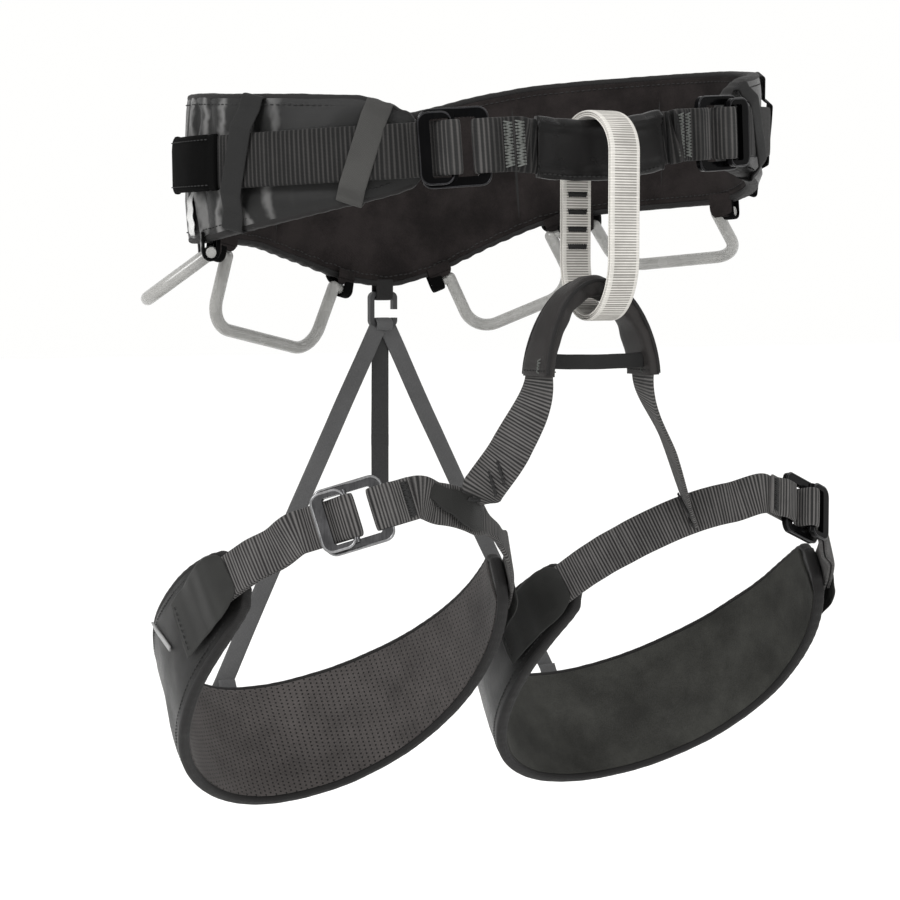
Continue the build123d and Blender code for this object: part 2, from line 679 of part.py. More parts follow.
HOOK_Y = WAIST_HALF_DEPTH + foam_middle
HOOK_TOP = belt_edges(180)[1] - LAYER_GAP - BELT_TAB_HEIGHT / 2  # middle of the top bar
HOOK_BOTTOM = HOOK_TOP - HOOK_HEIGHT

with BuildPart() as riser_belt_tab:
    with BuildSketch(Plane(origin=(0, HOOK_Y, 0), x_dir=(0, 1, 0), z_dir=(1, 0, 0))):
        with Locations((0, HOOK_TOP)):
            Rectangle(BELT_TAB_HEIGHT, BELT_TAB_HEIGHT)
            bore = (HOOK_DEPTH + 2 * LAYER_GAP, HOOK_THICKNESS + 2 * LAYER_GAP)
            Rectangle(*bore, mode=Mode.SUBTRACT)
    extrude(amount=RISER_WIDTH / 2, both=True)
save("riser_belt_tab", riser_belt_tab)

with BuildPart() as riser_hook:
    hook_side = RISER_WIDTH / 2 + HOOK_SPARE
    lip_end, mouth = HOOK_LIP
    with BuildSketch(Plane(origin=(0, HOOK_Y, 0), x_dir=(1, 0, 0), z_dir=(0, -1, 0))):
        with BuildLine():
            points = [
                (hook_side, HOOK_BOTTOM + mouth),
                (hook_side, HOOK_TOP),
                (-hook_side, HOOK_TOP),
                (-hook_side, HOOK_BOTTOM),
                (hook_side, HOOK_BOTTOM),
                (hook_side, HOOK_BOTTOM + lip_end),
            ]
            FilletPolyline(*points, radius=HOOK_BEND)
        trace(line_width=HOOK_THICKNESS)
    extrude(amount=HOOK_DEPTH / 2, both=True)
save("riser_hook", riser_hook)

RISER_START = HOOK_BOTTOM - HOOK_THICKNESS / 2 - LAYER_GAP
for side, sign in SIDES.items():
    start = (sign * RISER_SPREAD, HOOK_Y + sign * (RISER_THICKNESS / 2 + LAYER_GAP / 2), RISER_START)
    anchor = leg(side, RISER_ANGLE)
    foot = anchor.at(ANCHOR_OUT, PAD_TOP + ANCHOR_LENGTH / 2 + LAYER_GAP)
    with BuildPart() as riser:
        upper = Plane(origin=start, x_dir=(0, 1, 0), z_dir=(0, 0, 1))
        lower = Plane(origin=foot, x_dir=anchor.outward, z_dir=anchor.up)
        strip([(plane, RISER_THICKNESS, RISER_WIDTH) for plane in (upper, lower)])
    save(f"riser_{side}", riser)

with BuildPart() as riser_tail:
    tail_top = (0, HOOK_Y + TAIL_OFFSET, RISER_START)
    with BuildSketch(Plane(origin=tail_top, x_dir=(1, 0, 0), z_dir=(0, 0, -1))):
        Rectangle(RISER_WIDTH, RISER_THICKNESS)
    extrude(amount=TAIL_LENGTH)
save("riser_tail", riser_tail)

# ---------------------------------------------------------------- gear loops


def tab_place(angle):
    """Middle of a gear loop tab, hanging from the belt's lower edge."""
    return waist(angle).at(foam_middle, belt_edges(angle)[1] - TAB_HEIGHT / 2 - TAB_DROP)


tab_blocks = []
for side, sign in SIDES.items():
    for place, sizes in (("front", GEAR_FRONT), ("rear", GEAR_REAR)):
        first_angle, second_angle, first_inset, second_inset = sizes[side]
        first, second = tab_place(sign * first_angle), tab_place(sign * second_angle)
        chord = (second - first).normalized()
        middle = waist(sign * (first_angle + second_angle) / 2)
        outward = middle.outward
        hang = Vector(0, 0, -sizes["drop"]) + outward * sizes["flare"]
        hang = hang - chord * hang.dot(chord)
        reach = TAB_LENGTH / 2 + TAB_GAP + GEAR_TUBE_RADIUS
        start, finish = first + chord * reach, second - chord * reach
        with BuildPart() as gear_loop:
            with BuildLine():
                FilletPolyline(
                    start,
                    start + hang + chord * first_inset,
                    finish + hang - chord * second_inset,
                    finish,
                    radius=GEAR_BEND,
                )
            with BuildSketch(Plane(origin=start, z_dir=hang + chord * first_inset)):
                Circle(GEAR_TUBE_RADIUS)
            sweep()
            for end, way in ((start, -1), (finish, 1)):
                with Locations(Plane(origin=end)):
                    Sphere(GEAR_TUBE_RADIUS)
                with BuildSketch(Plane(origin=end, z_dir=chord * way)):
                    Circle(GEAR_PIN_RADIUS)
                extrude(amount=reach + TAB_LENGTH / 2 - GEAR_PIN_SHORT)
        save(f"gear_loop_{place}_{side}", gear_loop)
        for centre in (first, second):
            tab_blocks.append((centre, chord, outward))

with BuildPart() as gear_loop_tabs:
    for centre, chord, outward in tab_blocks:
        place = Plane(origin=centre - chord * (TAB_LENGTH / 2), x_dir=outward, z_dir=chord)
        with BuildSketch(place):
            Rectangle(TAB_DEPTH, TAB_HEIGHT)
            Circle(GEAR_PIN_RADIUS + GEAR_PIN_CLEARANCE, mode=Mode.SUBTRACT)
        extrude(amount=TAB_LENGTH)
save("gear_loop_tabs", gear_loop_tabs)
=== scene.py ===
from functools import partial
from math import copysign, cos, exp, pi, radians, sin, sqrt, tan

import bmesh
import bpy
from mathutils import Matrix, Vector, noise


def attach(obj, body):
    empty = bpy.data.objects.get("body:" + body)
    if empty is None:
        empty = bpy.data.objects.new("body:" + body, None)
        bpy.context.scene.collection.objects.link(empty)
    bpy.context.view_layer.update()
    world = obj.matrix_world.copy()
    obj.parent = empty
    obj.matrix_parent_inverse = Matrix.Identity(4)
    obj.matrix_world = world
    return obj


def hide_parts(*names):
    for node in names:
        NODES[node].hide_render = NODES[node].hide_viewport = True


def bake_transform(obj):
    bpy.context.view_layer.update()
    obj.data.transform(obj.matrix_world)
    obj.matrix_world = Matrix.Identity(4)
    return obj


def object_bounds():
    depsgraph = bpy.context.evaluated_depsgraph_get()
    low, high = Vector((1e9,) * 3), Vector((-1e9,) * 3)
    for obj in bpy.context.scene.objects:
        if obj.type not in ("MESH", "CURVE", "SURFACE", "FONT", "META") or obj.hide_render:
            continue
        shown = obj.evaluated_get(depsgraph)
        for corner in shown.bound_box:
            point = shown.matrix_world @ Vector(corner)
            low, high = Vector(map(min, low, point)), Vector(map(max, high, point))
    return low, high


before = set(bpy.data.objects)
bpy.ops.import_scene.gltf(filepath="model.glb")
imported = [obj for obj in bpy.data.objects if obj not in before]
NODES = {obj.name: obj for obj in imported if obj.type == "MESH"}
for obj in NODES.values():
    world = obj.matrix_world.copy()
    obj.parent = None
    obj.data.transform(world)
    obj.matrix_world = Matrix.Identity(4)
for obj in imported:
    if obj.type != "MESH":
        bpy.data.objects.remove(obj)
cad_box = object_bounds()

# Climbing harness. Sizes are in millimetres, as in the frame's drawing, and meshes are made in metres.
MM = 0.001
SIDES = {"right": -1, "left": 1}

# Waist belt: half axes of the inside, and angle, top edge and bottom edge from the front end to the back.
WAIST_HALF_WIDTH, WAIST_HALF_DEPTH = 146.0, 100.0
BELT_TILT, FRONT_SAG = 0.075, 5.0  # rise for each millimetre to the left, and the front webbing's dip
BELT_EDGES = [
    (34, 14, -15),
    (38, 20, -18),
    (44, 26, -21),
    (60, 29, -27),
    (75, 31, -32),
    (90, 33, -36),
    (110, 34, -37),
    (130, 34, -38),
    (145, 33, -42),
    (158, 29, -53),
    (170, 23, -65),
    (180, 20, -70),
]
BELT_THICKNESS = 8.8
WEB_THICKNESS = 2.0
WAIST_WEB_WIDTH, LEG_WEB_WIDTH = 25.0, 20.0
GAP = 0.3  # between layers
WEB_LAYER = BELT_THICKNESS + GAP + WEB_THICKNESS / 2
BUCKLE_LEVEL = WEB_LAYER + WEB_THICKNESS / 2 + GAP
UPPER_PLY = BUCKLE_LEVEL + WEB_THICKNESS / 2
TIE_IN_Y = -(WAIST_HALF_DEPTH + WEB_LAYER)

# Leg loops
LEG_HALF_WIDTH = {"right": 79.0, "left": 86.0}
LEG_CENTRE_X = {"right": 87.0, "left": 101.0}
LEG_CENTRE_Z = {"right": -238.0, "left": -245.0}
LEG_CENTRE_Y, LEG_HALF_DEPTH, LEG_RISE, LEG_SIDE_DROP = -6.0, 86.0, 70.0, 5.0
LEG_OUTER_LIFT = {"right": 9.0, "left": 0.0}
LEG_LEAN_MIDDLE, LEG_LEAN_SWING = 24.0, 14.0
LEG_PAD = [(62, 28), (66, 33), (72, 40), (80, 46), (105, 58), (130, 64), (155, 66), (180, 66)]
LEG_PAD += [(205, 64), (230, 58), (255, 48), (280, 36), (288, 32), (294, 28), (298, 26)]
LEG_THICKNESS = 6.8
ON_PAD = LEG_THICKNESS / 2 + 2 * GAP + WEB_THICKNESS / 2
PLY = WEB_THICKNESS + GAP

# Buckles, along the webbing from the buckle's middle and outward from its back face
BUCKLE_ANGLE, LEG_BUCKLE_ANGLE = 27.5, 22.0
PLATE = 2.8
LOAD_LEVEL, TAIL_LEVEL = -GAP - WEB_THICKNESS / 2, WEB_THICKNESS / 2
OVER_LEVEL = PLATE + GAP + WEB_THICKNESS / 2
BAR_AT, BAR_RADIUS = 3.5, 1.6
BAR_LEVEL = PLATE + GAP + WEB_THICKNESS + GAP + PLATE / 2
TURN_RADIUS = BAR_RADIUS + GAP + WEB_THICKNESS / 2
REACH = 27.0
RIB_PITCH, LEG_PITCH, BELAY_PITCH = 2.2, 1.55, 1.25
THREAD_RADIUS = 0.42


# ---------------------------------------------------------------- places on the object


class Place:
    """A place on a strip: its centre, the way along it, out of its face and up its width."""

    def __init__(self, centre, along, outward, hand=1):
        self.centre = Vector(centre)
        self.along = Vector(along).normalized()
        outward = Vector(outward)
        self.outward = (outward - self.along * outward.dot(self.along)).normalized()
        self.hand = hand
        self.up = self.outward.cross(self.along) * hand

    def at(self, out=0.0, up=0.0, along=0.0):
        return self.centre + self.outward * out + self.up * up + self.along * along

    def moved(self, out=0.0, up=0.0):
        """The same place a little further out or up."""
        return Place(self.at(out, up), self.along, self.outward, self.hand)

    def flipped(self):
        """The same place with its other face out."""
        return Place(self.centre, self.along, -self.outward)

    def upward(self, rows):
        """Places that point up the strip's width, at (out, up) rows."""
        return [Place(self.at(out, up), self.up, self.outward) for out, up in rows]


def between(table, at, column):
    """Straight-line value of a table's column at a first-column value."""
    for low, high in zip(table, table[1:]):
        if low[0] <= at <= high[0]:
            share = (at - low[0]) / (high[0] - low[0])
            return low[column] + share * (high[column] - low[column])
    return table[0][column] if at < table[0][0] else table[-1][column]


def eased(table, at, column, reach=5.0):
    """The same value with the table's corners rounded."""
    return sum(between(table, at + reach * step, column) for step in (-1, -0.5, 0, 0.5, 1)) / 5


def cosine_sine(degrees):
    turn = radians(degrees)
    return cos(turn), sin(turn)


def around(angle):
    """The same angle measured from the front either way, 0 to 180."""
    angle = abs(angle)
    return angle if angle <= 180 else 360 - angle


def waist(angle):
    """Place on the inside of the belt, with its width upright."""
    cosine, sine = cosine_sine(angle)
    x, y = WAIST_HALF_WIDTH * sine, -WAIST_HALF_DEPTH * cosine
    flat = (WAIST_HALF_WIDTH * cosine, WAIST_HALF_DEPTH * sine)
    return Place((x, y, BELT_TILT * x), (flat[0], flat[1], BELT_TILT * flat[0]), (flat[1], -flat[0], 0))


def leg(side, angle):
    """Place on the middle of a leg loop's webbing, with its width upright."""
    turn, sign = radians(angle), SIDES[side]
    sine, cosine = sin(turn), cos(turn)
    drop = LEG_SIDE_DROP - (LEG_OUTER_LIFT[side] if sine > 0 else 0)
    centre = (
        sign * (LEG_CENTRE_X[side] + LEG_HALF_WIDTH[side] * sine),
        LEG_CENTRE_Y - LEG_HALF_DEPTH * cosine,
        LEG_CENTRE_Z[side] + LEG_RISE * cosine - drop * sine**2,
    )
    slope = -LEG_RISE * sine - drop * sin(2 * turn)
    along = Vector((sign * LEG_HALF_WIDTH[side] * cosine, LEG_HALF_DEPTH * sine, slope))
    lean = radians(LEG_LEAN_MIDDLE - LEG_LEAN_SWING * cosine)
    upright = Vector((0, sin(lean), cos(lean)))
    return Place(centre, along, upright.cross(along) * -sign, sign)


def resample(places, step, closed=False):
    """Places a step apart on the smooth curve through the given ones, each with its distance along."""
    ring = places + places[:1] if closed else places
    samples = []
    for i, (a, b) in enumerate(zip(ring, ring[1:])):
        chord = b.centre - a.centre
        reach = chord.length
        if reach < 0.01:
            continue
        heads = []
        for place in (a, b):
            lean = place.along.dot(chord) / reach
            heads.append(place.along * copysign(reach, lean) if abs(lean) > 0.4 else chord)
        pieces = max(2, int(reach / step) + 1)
        for k in range(pieces + (1 if i == len(ring) - 2 else 0)):
            t = k / pieces
            near, far = (1 + 2 * t) * (1 - t) ** 2, t * t * (3 - 2 * t)
            curve = a.centre * near + heads[0] * (t * (1 - t) ** 2)
            curve += b.centre * far - heads[1] * (t * t * (1 - t))
            samples.append((curve, a.outward.lerp(b.outward, t)))
    lengths = [0.0]
    for (p, _), (q, _) in zip(samples, samples[1:]):
        lengths.append(lengths[-1] + (q - p).length)
    count = max(2, round(lengths[-1] / step))
    out, j = [], 0
    for n in range(count if closed else count + 1):
        wanted = lengths[-1] * n / count
        while j < len(lengths) - 2 and lengths[j + 1] < wanted:
            j += 1
        t = (wanted - lengths[j]) / max(lengths[j + 1] - lengths[j], 1e-6)
        centre = samples[j][0].lerp(samples[j + 1][0], t)
        tangent = samples[min(j + 2, len(samples) - 1)][0] - samples[max(j - 1, 0)][0]
        out.append((Place(centre, tangent, samples[j][1].lerp(samples[j + 1][1], t)), wanted))
    return out


def rounded(points, radii):
    """Points and tangents of a path in a plane, with an arc at each corner."""
    path = [(Vector(points[0]), (Vector(points[1]) - Vector(points[0])).normalized())]
    for before, corner, after, radius in zip(points, points[1:], points[2:], radii):
        before, corner, after = Vector(before), Vector(corner), Vector(after)
        first, second = (corner - before).normalized(), (after - corner).normalized()
        turn = first.angle_signed(second)
        setback = radius * tan(abs(turn) / 2)
        start = corner - first * setback
        side = Vector((first.y, -first.x)) * (1 if turn > 0 else -1)
        centre = start + side * radius
        steps = max(2, int(abs(turn) / 0.2))
        for k in range(steps + 1):
            a = turn * k / steps
            spoke = start - centre
            c, s = cos(-a), sin(-a)
            spoke = Vector((spoke.x * c - spoke.y * s, spoke.x * s + spoke.y * c))
            tangent = Vector((first.x * c - first.y * s, first.x * s + first.y * c))
            path.append((centre + spoke, tangent))
    path.append((Vector(points[-1]), (Vector(points[-1]) - Vector(points[-2])).normalized()))
    return path


# ---------------------------------------------------------------- meshes


def finish_mesh(name, vertices, faces, lay, body, material, slot, nodes=()):
    """A smooth mesh object in the frame that rides on a body and stands for some nodes."""
    mesh = bpy.data.meshes.new(name)
    mesh.from_pydata([v * MM for v in vertices], [], faces)
    layer = mesh.attributes.new("lay", "FLOAT_VECTOR", "CORNER")
    flat = [value for face_lay in lay for corner in face_lay for value in corner]
    layer.data.foreach_set("vector", flat)
    mesh.materials.append(M[material])
    mesh.update()
    mesh.polygons.foreach_set("use_smooth", [True] * len(mesh.polygons))
    solid = bmesh.new()
    solid.from_mesh(mesh)
    if solid.calc_volume(signed=True) < 0:
        mesh.flip_normals()
    solid.free()
    piece = bpy.data.objects.new(name, mesh)
    bpy.context.scene.collection.objects.link(piece)
    if body:
        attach(piece, body)
    if nodes:
        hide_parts(*nodes)
    return piece


def skin(rings, distances, closed=False):
    """Vertices, faces and lay of a surface through rings of (point, across); ends are capped."""
    count = len(rings[0])
    vertices = [point for ring in rings for point, _ in ring]
    faces, lay = [], []
    spans = len(rings) if closed else len(rings) - 1
    girth = distances[-1] + (distances[1] - distances[0]) if closed else 0
    for i in range(spans):
        j = (i + 1) % len(rings)
        here, there = distances[i], distances[j] if j > i else girth
        for k in range(count):
            m = (k + 1) % count
            faces.append((i * count + k, i * count + m, j * count + m, j * count + k))
            ends = rings[i][k][1], rings[i][m][1], rings[j][m][1], rings[j][k][1]
            lay.append([(here, ends[0], 0), (here, ends[1], 0), (there, ends[2], 0), (there, ends[3], 0)])
    if closed:
        return vertices, faces, lay
    for i, order in ((0, range(count - 1, -1, -1)), (len(rings) - 1, range(count))):
        vertices.append(sum((point for point, _ in rings[i]), Vector()) / count)
        order = list(order)
        for a, b in zip(order, order[1:] + order[:1]):
            faces.append((i * count + a, i * count + b, len(vertices) - 1))
            lay.append([(distances[i], across, 0) for across in (rings[i][a][1], rings[i][b][1], 0)])
    return vertices, faces, lay


def sweep(name, run, sections, body, material, slot, nodes=(), closed=False):
    """A surface along (place, distance) rows, through a section of (out, up, across) points at each."""
    rings = []
    for (place, _), section in zip(run, sections):
        rings.append([(place.at(out, up), across) for out, up, across in section])
    made = skin(rings, [distance for _, distance in run], closed)
    return finish_mesh(name, *made, body, material, slot, nodes)


def oval(half_width, thickness, points=20, corner=0.35, belly=0.55):
    """A flat rounded section as (out, up, how far it faces out) rows."""
    rows = []
    for k in range(points):
        c, s = cos(2 * pi * k / points), sin(2 * pi * k / points)
        up = copysign(abs(c) ** corner, c) * half_width
        out = copysign(abs(s) ** belly, s) * thickness / 2
        rows.append((out, up, s))
    return rows


def ribs(distance, pitch, depth):
    """Height of the cross ribs of webbing at a distance along it."""
    wave = abs(cos(pi * distance / pitch))
    return depth * (wave**0.6 - 0.55)


def webbing(
    name, places, width, body, material, slot, nodes=(), thickness=WEB_THICKNESS, pitch=RIB_PITCH, depth=0.28,
    step=0.36, closed=False, shape=None,
):
    """Ribbed webbing along places. shape(share) scales its width, thickness and rib height."""
    run = resample(places, step, closed)
    sections = []
    for _, distance in run:
        wide, thick, rib = shape(distance / run[-1][1]) if shape else (1, 1, 1)
        section = []
        for out, up, face in oval(width / 2 * wide, thickness * thick):
            lift = ribs(distance, pitch, depth * rib) * min(1, abs(face) * 1.6)
            out += copysign(lift, face) if abs(face) > 0.05 else 0
            section.append((out, up, up))
        sections.append(section)
    return sweep(name, run, sections, body, material, slot, nodes, closed)


def tape(
    name, places, width, thickness, body, material, slot, nodes=(), step=2.0, shape=None, wobble=0, seed=0,
):
    """Plain tape or a fabric strip along places, with soft unevenness. shape(share) also lifts it."""
    run = resample(places, step)
    sections = []
    for _, distance in run:
        wide, thick, lift = shape(distance / run[-1][1]) if shape else (1, 1, 0)
        section = []
        for out, up, _ in oval(width / 2 * wide, thickness * thick, 18):
            uneven = wobble * noise.noise(Vector((distance / 14 + seed, up / 9, seed)))
            section.append((out + lift + uneven, up, up))
        sections.append(section)
    return sweep(name, run, sections, body, material, slot, nodes)


def tube(name, places, half_width, thickness, step, body, material, slot, nodes=(), section=(16, 0.35, 0.55)):
    """A closed tube round places, with an oval section."""
    run = resample(places, step, True)
    rows = [(out, up, up) for out, up, _ in oval(half_width, thickness, *section)]
    return sweep(name, run, [rows] * len(run), body, material, slot, nodes, True)


def threads(name, rows, radius, body, material, slot):
    """Separate six-sided threads, each a place and its (out, up, along, size) points."""
    vertices, faces = [], []
    for place, points in rows:
        first = len(vertices)
        last = first + 6 * (len(points) - 1)
        for out, up, along, size in points:
            centre = place.at(out, up, along)
            for k in range(6):
                c, s = cos(pi * k / 3), sin(pi * k / 3)
                vertices.append(centre + (place.outward * s + place.up * c) * (radius * size))
        for ring in range(first, last, 6):
            for k in range(6):
                a, b = ring + k, ring + (k + 1) % 6
                faces.append((a, b, b + 6, a + 6))
        faces += [tuple(first + k for k in reversed(range(6))), tuple(last + k for k in range(6))]
    lay = [[(0, 0, 0)] * len(face) for face in faces]
    return finish_mesh(name, vertices, faces, lay, body, material, slot)


def stitches(name, places, body, material, slot, pitch=3.0, length=2.0, radius=0.28):
    """A row of separate stitches along places."""
    points = [(0, 0, along * length, size) for along, size in ((0, 0.35), (0.2, 1), (0.8, 1), (1, 0.35))]
    rows = [(place, points) for place, _ in resample(places, pitch)[:-1]]
    return threads(name, rows, radius, body, material, slot)


def bartack(name, place, width, height, body, material, slot, pitch=1.15, slant=0.5):
    """A block of dense zigzag stitching: separate threads side by side up its height."""
    rows = []
    count = int(height / pitch * 2)
    for n in range(count):
        up = -height / 2 + (n + 0.5) * height / count
        way = slant if n % 2 else -slant
        jitter = 0.3 * noise.noise(Vector((n * 0.7, width, up)))
        points = []
        for share, size in ((-0.5, 0.4), (-0.4, 1), (0, 1.15), (0.4, 1), (0.5, 0.4)):
            bow = 0.35 * (1 - 4 * share * share)
            points.append((bow, up + share * way * pitch + jitter, share * width, size))
        rows.append((place, points))
    return threads(name, rows, THREAD_RADIUS, body, material, slot)


# ---------------------------------------------------------------- materials


class Nodes:
    """A material's node tree with short calls for what the materials below share."""

    def __init__(self, material):
        self.material = material
        material.use_nodes = True
        self.tree = material.node_tree
        self.shader = self.tree.nodes["Principled BSDF"]

    def add(self, kind, **settings):
        node = self.tree.nodes.new(kind)
        for key, value in settings.items():
            setattr(node, key, value)
        return node

    def link(self, source, target):
        self.tree.links.new(source, target)

    def maths(self, operation, a, b=0.0, c=0.0):
        node = self.add("ShaderNodeMath", operation=operation)
        for socket, value in zip(node.inputs, (a, b, c)):
            if isinstance(value, (int, float)):
                socket.default_value = value
            else:
                self.link(value, socket)
        return node.outputs[0]

    def vary(self, base, value, amount):
        """A base changed by how far a 0 to 1 value is from a half."""
        return self.maths("MULTIPLY_ADD", self.maths("SUBTRACT", value, 0.5), amount, base)

    def parts(self, vector):
        """The three parts of a vector."""
        split = self.add("ShaderNodeSeparateXYZ")
        self.link(vector, split.inputs[0])
        return list(split.outputs)

    def lay(self):
        """The along and across coordinates of the cloth, in millimetres."""
        return self.parts(self.add("ShaderNodeAttribute", attribute_name="lay").outputs["Vector"])[:2]

    def position(self):
        """Where a point is on the harness, in metres."""
        return self.add("ShaderNodeTexCoord").outputs["Object"]

    def wave(self, value, pitch, shift=0.0):
        return self.maths("SINE", self.maths("MULTIPLY_ADD", value, 2 * pi / pitch, shift))

    def smooth(self, value, *limits):
        """A smooth step: as value goes from limit 0 to limit 1, the result goes from limit 2 to limit 3."""
        node = self.add("ShaderNodeMapRange", interpolation_type="SMOOTHSTEP")
        for socket, limit in zip(("From Min", "From Max", "To Min", "To Max"), limits):
            node.inputs[socket].default_value = limit
        self.link(value, node.inputs["Value"])
        return node.outputs["Result"]

    def noise(self, scale, detail=3.0, rough=0.5, stretch=(1, 1, 1)):
        mapping = self.add("ShaderNodeMapping")
        mapping.inputs["Scale"].default_value = stretch
        self.link(self.position(), mapping.inputs[0])
        node = self.add("ShaderNodeTexNoise")
        node.inputs["Scale"].default_value = scale
        node.inputs["Detail"].default_value = detail
        node.inputs["Roughness"].default_value = rough
        self.link(mapping.outputs[0], node.inputs["Vector"])
        return node.outputs["Fac"]

    def line_noise(self, value, scale):
        """Noise that changes along one direction only."""
        node = self.add("ShaderNodeTexNoise", noise_dimensions="1D")
        node.inputs["Scale"].default_value = scale
        node.inputs["Detail"].default_value = 2.0
        self.link(value, node.inputs["W"])
        return node.outputs["Fac"]

    def ramp(self, value, stops, target="Base Color"):
        """Link a value through a ramp of (position, colour) stops to one of the shader's sockets."""
        node = self.add("ShaderNodeValToRGB")
        band = node.color_ramp
        while len(band.elements) < len(stops):
            band.elements.new(0.5)
        for element, (position, colour) in zip(band.elements, stops):
            element.position = position
            element.color = (*colour, 1) if len(colour) == 3 else (colour[0],) * 3 + (1,)
        self.link(value, node.inputs[0])
        self.link(node.outputs[0], self.shader.inputs[target])

    def bump(self, height, distance, strength=1.0):
        node = self.add("ShaderNodeBump")
        node.inputs["Distance"].default_value = distance
        node.inputs["Strength"].default_value = strength
        self.link(height, node.inputs["Height"])
        self.link(node.outputs[0], self.shader.inputs["Normal"])

    def colour(self):
        """What colours the shader so far."""
        return self.shader.inputs["Base Color"].links[0].from_socket

    def set(self, **values):
        for key, value in values.items():
            self.shader.inputs[key.replace("_", " ")].default_value = value
        return self


def new_material(name, colour, rough):
    """The nodes of a new plain material."""
    return Nodes(bpy.data.materials.new(name)).set(Base_Color=(*colour, 1), Roughness=rough)


def shade(colour, share):
    return tuple(c * share for c in colour)


def cloth(name, colour, rough=0.8, pitch=0.7, weave=0.25, patches=0.2, gloss=0.15, depth=0.00012, fuzz=0.0):
    """Woven or brushed fabric: a fine plain weave and soft patches."""
    n = new_material(name, colour, rough)
    along, across = n.lay()
    plain = n.maths("MULTIPLY", n.wave(along, pitch), n.wave(across, pitch))
    patch = n.noise(38, 4, 0.6)
    grain = n.noise(1500, 2, 0.7)
    hairy = 0.5 + 2 * fuzz
    mixed = n.maths("MULTIPLY_ADD", plain, weave, n.vary(0.5, patch, 4 * patches))
    mixed = n.vary(mixed, grain, hairy)
    n.ramp(mixed, [(0.0, shade(colour, 0.55)), (0.5, colour), (1.0, shade(colour, 1.6))])
    n.ramp(patch, [(0.3, (rough - 0.08,)), (0.7, (min(1, rough + 0.08),))], "Roughness")
    n.bump(n.maths("MULTIPLY_ADD", grain, hairy, n.maths("MULTIPLY", plain, 0.5)), depth)
    n.set(Sheen_Weight=gloss * 0.2, Sheen_Roughness=0.45, Specular_IOR_Level=gloss)
    return n.material


def ribbed(name, ridge, groove, rough=0.8, soil=0.0, edge=None, pitch=RIB_PITCH, sharp=3.2):
    """Webbing: dark grooves between cross ribs, and yarns along each rib."""
    n = new_material(name, ridge, rough)
    along, across = n.lay()
    rib = n.maths("ABSOLUTE", n.maths("COSINE", n.maths("MULTIPLY", along, pi / pitch)))
    yarn = n.wave(across, 0.62)
    patch = n.noise(55, 4, 0.6)
    value = n.maths("MULTIPLY_ADD", yarn, 0.1, n.maths("POWER", rib, sharp))
    value = n.vary(value, patch, 0.7 + soil)
    value = n.vary(value, n.line_noise(along, 0.9 / pitch), 0.9)
    if edge:
        side = n.maths("GREATER_THAN", n.maths("ABSOLUTE", across), edge)
        value = n.maths("MAXIMUM", value, n.maths("MULTIPLY", side, 0.8))
    n.ramp(value, [(0.1, groove), (0.55, shade(ridge, 0.6)), (1.0, shade(ridge, 1.2))])
    grain = n.noise(1800, 2, 0.6)
    n.bump(n.maths("MULTIPLY_ADD", yarn, 0.35, n.maths("ADD", grain, n.maths("MULTIPLY", rib, 0.6))), 0.00014)
    n.set(Sheen_Weight=0.03, Sheen_Roughness=0.5, Specular_IOR_Level=0.12)
    return n.material


def perforated(name, colour):
    """Spacer mesh: soft knitted cloth with staggered rows of small dark holes, and painted shade that darkens
    it toward its ends.
    """
    n = new_material(name, colour, 0.9)
    along, across = n.lay()
    rows = []
    for shift in (0.0, pi / 2):
        column = n.maths("POWER", n.maths("ABSOLUTE", n.wave(along, 12.4, shift)), 8.0)
        rows.append(n.maths("MULTIPLY", column, n.maths("ABSOLUTE", n.wave(across, 4.4, shift))))
    inside = n.maths("MAXIMUM", n.maths("SUBTRACT", n.maths("MAXIMUM", *rows), 0.68), 0.0)
    hole = n.maths("MINIMUM", n.maths("MULTIPLY", inside, 6.0), 1.0)
    patch = n.noise(42, 4, 0.6)
    grain = n.noise(1300, 2, 0.7)
    knit = n.maths("MULTIPLY", n.wave(along, 0.75), n.wave(across, 0.8))
    value = n.vary(n.maths("MULTIPLY_ADD", knit, 0.22, 0.55), patch, 0.9)
    value = n.vary(value, grain, 0.8)
    # Painted shade: a slow wave 420 mm long along the lining darkens it toward its ends and lightens its
    # middle.
    value = n.maths("MULTIPLY_ADD", n.maths("SUBTRACT", n.wave(along, 420, -1.5), 0.4), 0.16, value)
    value = n.maths("SUBTRACT", value, hole)
    n.ramp(value, [(0.0, shade(colour, 0.18)), (0.5, colour), (1.0, shade(colour, 1.7))])
    sunk = n.maths("MULTIPLY", hole, 2.5)
    n.bump(n.maths("SUBTRACT", n.maths("MULTIPLY_ADD", knit, 0.4, grain), sunk), 0.00014)
    n.set(Sheen_Weight=0.06, Sheen_Roughness=0.5, Specular_IOR_Level=0.2)
    return n.material


def metal(name, colour, rough, metallic, worn=0.0):
    """Anodised metal with fine brushing and soft smudges, paler where it is worn."""
    n = new_material(name, colour, rough)
    brushed = n.noise(900, 3, 0.6, (1, 1, 0.06))
    value = n.vary(n.noise(70, 4, 0.6), brushed, 0.7)
    n.ramp(value, [(0.25, shade(colour, 0.8)), (0.7, shade(colour, 1.15 + worn))])
    n.ramp(value, [(0.2, (rough - 0.06,)), (0.8, (rough + 0.12,))], "Roughness")
    n.bump(brushed, 0.00002, 0.5)
    n.set(Metallic=metallic, Specular_IOR_Level=0.03)
    return n.material


def plastic(name, colour, rough, subsurface=0.0):
    """Moulded plastic with faint flow lines."""
    n = new_material(name, colour, rough)
    cloud = n.noise(90, 3, 0.5)
    n.ramp(cloud, [(0.3, shade(colour, 0.9)), (0.7, shade(colour, 1.08))])
    n.ramp(cloud, [(0.3, (rough - 0.05,)), (0.7, (rough + 0.08,))], "Roughness")
    n.bump(n.noise(1400, 2, 0.5), 0.00003, 0.5)
    n.set(Subsurface_Weight=subsurface, Subsurface_Radius=(0.004, 0.004, 0.0038), IOR=1.45)
    return n.material


